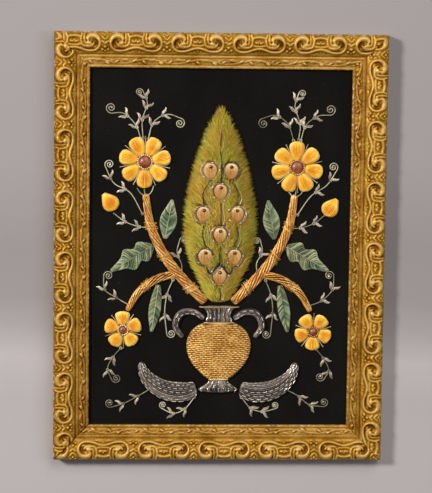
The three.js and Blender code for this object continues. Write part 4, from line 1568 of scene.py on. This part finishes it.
def make_petals(flower):
    """Padding, satin and cord of every petal of a flower."""
    lines, shades, cords = [], [], []
    inner = flower["heart"] + HEART_GAP
    length = flower["reach"] - inner
    widest = inner + PETAL_WIDEST * length
    half = 0.86 * widest * math.sin(math.pi / flower["petals"]) - PETAL_GAP
    for k in range(flower["petals"]):
        turn = flower["turn"] + 360 * k / flower["petals"]
        rows = grown(PETAL, np.array(flower["at"]) + heading_of(turn) * inner, turn, length, half)
        form = make_pad(f"{flower['name']}_petal_{k + 1}", rows, PETAL_CROWN, YELLOW_FELT, "yellow_silk")
        petal_lines, petal_shades = satin_lines(form)
        lines += petal_lines
        shades += petal_shades
        cords.append(edge_line(form, 0.9, 0.7))
    lay_threads(f"{flower['name']}_satin", "yellow_silk", YELLOW_SILK, lines, radius=0.62, shades=shades)
    sew_purl(
        f"{flower['name']}_cords", "yellow_silk", PALE_CORD, cords,
        radius=0.48, pitch=0.8, closed=True,
    )


for flower in FLOWERS:
    make_petals(flower)

# %% [markdown]
# The heart of a flower is a moulded glass stone, held by a ring of gold beads. A sphere pressed flat would
# meet the velvet at a slant, so the dome stands on a short wall.


# %% Hearts
def make_stone_finish():
    material, tree, shader = new_finish("garnet_glass", Roughness=0.4, Specular_IOR_Level=0.7)
    cloudy = noise(tree, 260, 4)
    dyes = [(0.3, linear(86, 32, 8)), (0.5, linear(132, 60, 20)), (0.72, linear(180, 104, 48))]
    tree.links.new(ramp(tree, cloudy, *dyes), shader.inputs["Base Color"])
    bump(tree, shader, cloudy, 0.12)
    return material


GARNET_GLASS = make_stone_finish()
HEART_TOP = 12.3
HEART_WALL = 0.6
HEART_STEPS = 32


def circle(at, radius, z, steps=48):
    turn = np.linspace(0, math.tau, steps, endpoint=False)
    across, up = at[0] + radius * np.cos(turn), at[1] + radius * np.sin(turn)
    return np.stack([across, up, np.full(steps, z)], axis=-1)


def make_heart(flower):
    """A domed stone: rings of points from its foot to its top."""
    radius, wall_top = flower["heart"], MOTIF_BASE + HEART_WALL
    climb = np.radians([18, 36, 54, 72, 84])
    outline = [(radius, MOTIF_BASE - SINK), (radius, wall_top)]
    outline += [(radius * math.cos(a), wall_top + (HEART_TOP - wall_top) * math.sin(a)) for a in climb]
    rings = np.array([circle(flower["at"], r, z, HEART_STEPS) for r, z in outline])
    faces = grid_faces(len(rings), HEART_STEPS, closed=True).tolist()
    last = (len(rings) - 1) * HEART_STEPS
    faces += [list(range(HEART_STEPS))[::-1], list(range(last, last + HEART_STEPS))]
    heart = make_object(f"{flower['name']}_stone", rings, faces, material=GARNET_GLASS)
    seat(heart, "garnet_stone", f"{flower['name']}_heart")


for flower in FLOWERS:
    make_heart(flower)
heart_rings = [circle(flower["at"], flower["heart"] + 0.2, 10.6) for flower in FLOWERS]
sew_beads("heart_beads", "gold_thread", PALE_CORD, heart_rings, radius=0.95, spacing=2.1, closed=True)

# %% [markdown]
# Short lengths of purl lie between the petals like stamens, each with a bead at its end, and two tiny
# bright beads sit at the edge of every stone as painted glints, where glass would catch the lamps.

# %% Stamens and painted glints
STAMEN_REACH = 0.93
stamens, stamen_beads = [], []
for flower in FLOWERS:
    centre = np.array([*flower["at"], 9.0])
    tip = flower["reach"] * STAMEN_REACH
    for k in range(flower["petals"]):
        heading = np.append(heading_of(flower["turn"] + 360 * (k + 0.5) / flower["petals"]), 0)
        stamens.append([centre + heading * r for r in np.linspace(flower["heart"] + 1.4, tip, 8)])
        stamen_beads.append(dot(*(centre + heading * (tip + 0.9))))
sew_purl("stamens", "yellow_silk", PALE_CORD, stamens, radius=0.42, pitch=0.8)
sew_beads("stamen_beads", "slate_thread", SILVER_LEAF, stamen_beads, radius=0.7, spacing=5)
# Two bright beads on each stone are painted glints.
painted_glints = []
for flower in FLOWERS:
    for turn in (48, 236):
        painted_glints.append(dot(*(np.array(flower["at"]) + (flower["heart"] - 0.3) * heading_of(turn)), 11.7))
sew_beads("heart_painted_glints", "slate_thread", SILVER_CHIP, painted_glints, radius=0.8, spacing=5)

# %% [markdown]
# A bud is a single fat petal, so it is made by the same steps as a petal, with a heavier cord.

# %% Buds
BUD = [(0, 0.45), (0.22, 0.95), (0.5, 1), (1, 0.12)]
BUDS = [
    {"name": "bud_left", "at": (-101, 37), "turn": 128, "length": 19, "half": 6.6},
    {"name": "bud_right", "at": (102, 33), "turn": 54, "length": 19, "half": 6.6},
]
bud_lines, bud_shades, bud_cords = [], [], []
for bud in BUDS:
    rows = grown(BUD, bud["at"], bud["turn"], bud["length"], bud["half"])
    form = make_pad(bud["name"], rows, 2.6, YELLOW_FELT, "yellow_silk")
    lines, shades = satin_lines(form)
    bud_lines += lines
    bud_shades += shades
    bud_cords.append(edge_line(form, 0.95, 0.7))
lay_threads("bud_satin", "yellow_silk", YELLOW_SILK, bud_lines, radius=0.62, shades=bud_shades)
sew_purl("bud_cords", "yellow_silk", PALE_CORD, bud_cords, radius=0.55, pitch=0.9, closed=True)

# %% [markdown]
# ## Leaves
#
# Leaves are worked in satin stitch that slants from the midrib to the edge on both sides, over thin padding
# or straight on the velvet, with a silver vein and outline. The lobed leaves are one pad whose width swells
# and narrows. The two inner leaves have no padding of their own, so they are threads alone.

# %% Leaves
SAGE_SILK = thread_finish(
    "sage_silk", (46, 58, 36), (114, 122, 80), (184, 182, 136),
    patches=((34, 58, 38), (92, 118, 82), (160, 176, 136)), patch_scale=70, **SILK,
)
SAGE_FELT = thread_finish("sage_padding", (26, 38, 28), (42, 56, 40), (60, 74, 54), **FELT)
LOBED = [(0, 0.16), (0.22, 0.94), (0.36, 0.6), (0.55, 1), (0.7, 0.48), (1, 0.08)]
SLENDER = [(0, 0.3), (0.3, 0.9), (0.62, 1), (1, 0.12)]
FLAT = [(0, 0.1), (0.3, 0.9), (0.55, 1), (0.8, 0.5), (1, 0.06)]
LEAVES = [
    {"name": "leaf_left_high", "shape": LOBED, "at": (-65, 2), "turn": 212, "length": 47, "half": 10.5},
    {"name": "leaf_right_high", "shape": LOBED, "at": (65, 2), "turn": -30, "length": 47, "half": 10.5},
    {"name": "leaf_left_low", "shape": SLENDER, "at": (-59, -36), "turn": 262, "length": 46, "half": 4.8},
    {"name": "leaf_right_low", "shape": SLENDER, "at": (59, -36), "turn": -80, "length": 46, "half": 4.8},
    {"name": "leaf_left_inner", "shape": FLAT, "at": (-53, 9), "turn": 80, "length": 38, "half": 7},
    {"name": "leaf_right_inner", "shape": FLAT, "at": (53, 9), "turn": 100, "length": 38, "half": 7},
]
SIDE_VEINS = (0.12, 0.38, 0.58)
LEAF_CROWN = 1.4
FLAT_CROWN = 0.5
LEAF_PITCH = 1.9
LEAF_SLANT = 5.5
VEIN_LIFT = 0.75


def slanted_lines(form):
    """Stitches from the midrib out to both edges, slanting forwards, with a shade for each."""
    lines, shades = [], []
    share = np.linspace(0, 1, 7)
    for start in np.arange(0.4, form["length"] - 1.2, LEAF_PITCH):
        for side in (-1, 1):
            along = np.minimum(start + LEAF_SLANT * share, form["length"] - 0.3)
            lines.append(on_pad(form, along, side * 1.5 * share, 0.1))
            shades.append(np.clip(0.3 + 0.35 * share + 0.45 * rng.uniform(-1, 1), 0, 1))
    return lines, shades


def vein_lines(form, side_veins):
    """The midrib, and veins that leave it on both sides at shares of its length."""
    along = np.linspace(0.5, form["length"] - 1.5, 24)
    run = np.linspace(0, 1, 8)
    lines = [on_pad(form, along, 0 * along, VEIN_LIFT)]
    for share in side_veins:
        for side in (-1, 1):
            lines.append(on_pad(form, form["length"] * share + 6 * run, side * 1.1 * run, VEIN_LIFT))
    return lines


leaf_lines, leaf_shades, leaf_veins, leaf_outlines = [], [], [], []
for leaf in LEAVES:
    rows = grown(leaf["shape"], leaf["at"], leaf["turn"], leaf["length"], leaf["half"])
    if leaf["shape"] is FLAT:
        form = pad_form(rows, FLAT_CROWN, VELVET_HIGH.z - 0.3)
    else:
        form = make_pad(leaf["name"], rows, LEAF_CROWN, SAGE_FELT, "sage_silk")
    lines, shades = slanted_lines(form)
    leaf_lines += lines
    leaf_shades += shades
    leaf_veins += vein_lines(form, SIDE_VEINS if leaf["shape"] is LOBED else ())
    leaf_outlines.append(edge_line(form, 0.4, 0.6))
lay_threads("leaf_satin", "sage_silk", SAGE_SILK, leaf_lines, radius=0.85, shades=leaf_shades)
sew_purl("leaf_veins", "sage_silk", SILVER_PURL, leaf_veins, radius=0.5, pitch=0.8)
sew_purl("leaf_outlines", "sage_silk", SILVER_PURL, leaf_outlines, radius=0.58, pitch=0.9, closed=True)

# %% [markdown]
# ## Tendrils
#
# Tendrils of silver-green purl are sewn straight on the velvet. Each is a soft curve that may end in a curl,
# with small leaves in satin stitch beside it. They are drawn for the right side and turned over for the
# left, with a small change of place, as a hand would do it.

# %% Tendrils, drawn for the right side
# A curl is the way it winds, 1 to the left and -1 to the right, and its radius. Leaves grow at shares of
# the line's length.
TENDRIL_COLUMNS = ("name", "line", "curl", "leaves")
TENDRILS = [
    ("bud stalk", [(66, 20), (78, 20), (91, 25), (102, 33)], None, (0.35, 0.7)),
    ("top outer", [(77, 105), (83, 119), (94, 128), (106, 130)], (1, 5.2), (0.3, 0.62)),
    ("top inner", [(70, 105), (64, 120), (52, 129), (39, 126)], (1, 5.0), (0.3, 0.62)),
    ("crest", [(75, 106), (76, 122), (71, 138), (75, 152)], (-1, 3.6), (0.35, 0.6, 0.85)),
    ("side", [(75, 33), (88, 52), (103, 63), (112, 78)], (1, 4.6), (0.45, 0.8)),
    ("leaf stalk", [(57, 0), (62, 2), (67, 1)], None, ()),
    ("low outer", [(87, -56), (99, -50), (110, -40), (112, -27)], (1, 4.6), (0.35, 0.7)),
    ("hanging", [(95, -98), (103, -108), (107, -119), (103, -129)], (-1, 4.6), (0.35, 0.75)),
    ("inner", [(45, -31), (51, -45), (52, -62), (51, -84)], (-1, 4.4), (0.35, 0.75)),
    ("inner high", [(38, -30), (36, -16), (42, -4), (39, 8)], (1, 3.4), (0.6,)),
    ("scroll spray", [(66, -138), (78, -144), (90, -153), (104, -156)], (1, 4.4), (0.4, 0.75)),
    ("foot spray", [(23, -146), (31, -157), (44, -161), (56, -158)], (1, 3.6), (0.35, 0.7)),
    ("calyx left", [(71, 50), (67, 54), (64, 60)], None, ()),
    ("calyx middle", [(72, 50), (73, 54), (73.5, 58)], None, ()),
    ("calyx right", [(73, 50), (77, 53), (81, 58)], None, ()),
]
CURL_TURNS = 1.7
LEAF_SPREAD = 38


def curl(end, heading, way, radius):
    """A spiral that carries on from the end of a line and winds inwards."""
    side = np.array([-heading[1], heading[0]]) * way
    turn = np.linspace(0, CURL_TURNS * math.tau, 44)[1:]
    shrink = radius * (1 - 0.82 * (turn / turn[-1]) ** 0.9)
    bearing = math.atan2(-side[1], -side[0]) + way * turn
    return end + side * radius + np.stack([np.cos(bearing), np.sin(bearing)], axis=1) * shrink[:, None]


def draw_tendril(spec, sway):
    """The flat line of a tendril, and where its small leaves grow: their place and direction."""
    line = smooth_line(np.array(spec["line"]) + sway, 10)
    heading = line[-1] - line[-2]
    places = []
    for share in spec["leaves"]:
        i = int(share * (len(line) - 2))
        way = math.degrees(math.atan2(*(line[i + 1] - line[i])[::-1]))
        places += [(*line[i], way + LEAF_SPREAD), (*line[i], way - LEAF_SPREAD * 1.2)]
    if spec["curl"]:
        line = np.vstack([line, curl(line[-1], heading / np.linalg.norm(heading), *spec["curl"])])
    return line, places


print(len(TENDRILS), "tendrils on each side")

# %% [markdown]
# The purl lies with its lower part in the velvet's nap and stands up a little where it starts. Small rings
# of purl are sewn where leaves grow, and a knot closes each curl. Every point but the first may sway, so
# that a tendril always starts where its stem is.

# %% Tendrils
PURL_RADIUS = 0.68
PURL_HEIGHT = 7.3 + PURL_RADIUS * 0.85
SWAY = 1.2
SWAY_OF_STALKS = 0.4
RING_RADIUS = 1.2
tendril_lines, leaf_places, knots, rings = [], [], [], []
for flip in (1, -1):
    for row in TENDRILS:
        spec = dict(zip(TENDRIL_COLUMNS, row))
        count = len(spec["line"])
        sway = rng.uniform(-SWAY, SWAY, (count, 2)) * (np.arange(count) > 0)[:, None]
        flat, places = draw_tendril(spec, sway if spec["curl"] else SWAY_OF_STALKS * sway)
        flat = flat * (flip, 1)
        rise = 0.9 * np.exp(-np.linspace(0, 9, len(flat))) + 0.12 * np.sin(np.arange(len(flat)) / 3)
        line = np.column_stack([flat, PURL_HEIGHT + rise])
        tendril_lines.append(line)
        leaf_places += [(x * flip, y, turn if flip > 0 else 180 - turn) for x, y, turn in places]
        if spec["leaves"]:
            knots.append(dot(*line[-1]))
            rings += [circle((x * flip, y), RING_RADIUS, PURL_HEIGHT + 0.7, 12) for x, y, _ in places[::2]]
            rings.append(circle(line[0, :2], RING_RADIUS, PURL_HEIGHT + 0.9, 12))
sew_purl("tendrils", "slate_thread", SILVER_PURL, tendril_lines, radius=PURL_RADIUS, pitch=0.85)
sew_purl("tendril_rings", "slate_thread", SILVER_PURL, rings, radius=0.55, pitch=0.8, closed=True)
sew_beads("tendril_knots", "slate_thread", SILVER_LEAF, knots, radius=1.2, spacing=5)

# %% [markdown]
# A small leaf is four long stitches that part in the middle and meet at both ends. They bulge over the
# velvet where they part, because the thread is laid loosely.

# %% Small leaves
SMALL_LEAF_LENGTH = 8.0
SMALL_LEAF_SPREAD = 1.05
SMALL_LEAF_THREADS = 4
SMALL_LEAF_BEND = 1.1


def small_leaf_lines(x, y, turn):
    """The stitches of a leaf that grows from a place in a direction."""
    heading = heading_of(turn)
    side = np.array([-heading[1], heading[0]])
    share = np.linspace(0, 1, 7)
    belly = np.sin(math.pi * share**0.8)
    bend = SMALL_LEAF_BEND * np.sin(math.tau * share) / 2
    middle = np.array([x, y]) + np.outer(0.6 + SMALL_LEAF_LENGTH * share, heading)
    lines = []
    for k in np.linspace(-1, 1, SMALL_LEAF_THREADS):
        flat = middle + np.outer(k * SMALL_LEAF_SPREAD * belly + bend, side)
        lines.append(np.column_stack([flat, VELVET_HIGH.z + 0.3 + 0.8 * belly * (1 - 0.5 * k * k)]))
    return lines


small_lines = [line for place in leaf_places for line in small_leaf_lines(*place)]
lay_threads("small_leaves", "slate_thread", SILVER_LEAF, small_lines, radius=0.44)

# %% [markdown]
# ## Floor and light
#
# The object lies on a pale floor with painted light and shade: its tone changes from its foot to its head,
# as the ground in the picture does. One plain grey would be too light beside the frame and too dark below
# it, so a ramp along Y paints these tones of light and shade.

# %% Floor
FLOOR_SIZE = 8000
FLOOR_Z = -0.2
# Places along Y in metres, and how light the floor is painted there, from 0 to 255.
FLOOR_PAINTED_LIGHT = [(-0.2, 171), (-0.15, 168), (-0.11, 174), (-0.08, 155), (-0.05, 142), (0.0, 139), (0.08, 147)]


def make_floor():
    material, tree, shader = new_finish("pale_floor", Roughness=0.9)
    upwards = add_node(tree, "ShaderNodeSeparateXYZ", {0: place_of(tree)}).outputs["Y"]
    mottled = math_node(tree, "ADD", upwards, spread(tree, noise(tree, 3, 2), 0.3, 0.7, -0.01, 0.01))
    first, last = FLOOR_PAINTED_LIGHT[0][0], FLOOR_PAINTED_LIGHT[-1][0]
    stops = [((y - first) / (last - first), linear(tone, tone - 6, tone - 6)) for y, tone in FLOOR_PAINTED_LIGHT]
    tree.links.new(ramp(tree, spread(tree, mottled, first, last), *stops), shader.inputs["Base Color"])
    half = FLOOR_SIZE / 2
    corners = [(-half, -half, FLOOR_Z), (half, -half, FLOOR_Z), (half, half, FLOOR_Z), (-half, half, FLOOR_Z)]
    make_object("floor", corners, [(0, 1, 2, 3)], material=material)


make_floor()

# %% [markdown]
# Three soft lamps light it: a window to the left, which draws the moulding's shadow on the right, a broad
# sky beyond the top edge that makes the upper lobes shine, and a weak glow of the room from the right. A
# faint even light from all round keeps the shadows open. Places are in metres, and powers in watts.

# %% Light
LAMPS = [
    {"name": "window", "place": (-1.8, 0.9, 1.9), "size": 0.5, "power": 73, "colour": (1.0, 0.98, 0.95)},
    {"name": "sky", "place": (0.6, 1.5, 2.1), "size": 1.4, "power": 30, "colour": (1.0, 0.99, 0.97)},
    {"name": "room", "place": (1.5, 0.3, 1.7), "size": 0.9, "power": 11, "colour": (0.98, 0.98, 1.0)},
]
ALL_ROUND_COLOUR = (0.9, 0.9, 0.92, 1)
ALL_ROUND_STRENGTH = 0.12


def make_lamp(lamp):
    """A round lamp that faces the middle of the picture."""
    light = bpy.data.lights.new(lamp["name"], "AREA")
    light.shape = "DISK"
    light.size = lamp["size"]
    light.energy = lamp["power"]
    light.color = lamp["colour"]
    made = bpy.data.objects.new(lamp["name"], light)
    bpy.context.scene.collection.objects.link(made)
    made.location = lamp["place"]
    made.rotation_mode = "QUATERNION"
    made.rotation_quaternion = (-Vector(lamp["place"])).to_track_quat("-Z", "Y")
    print("lamp", lamp["name"], lamp["power"], "W")


for lamp in LAMPS:
    make_lamp(lamp)
world = bpy.data.worlds.new("studio")
world.use_nodes = True
all_round = world.node_tree.nodes["Background"]
all_round.inputs["Color"].default_value = ALL_ROUND_COLOUR
all_round.inputs["Strength"].default_value = ALL_ROUND_STRENGTH
bpy.context.scene.world = world
bpy.context.scene.view_settings.view_transform = "Standard"
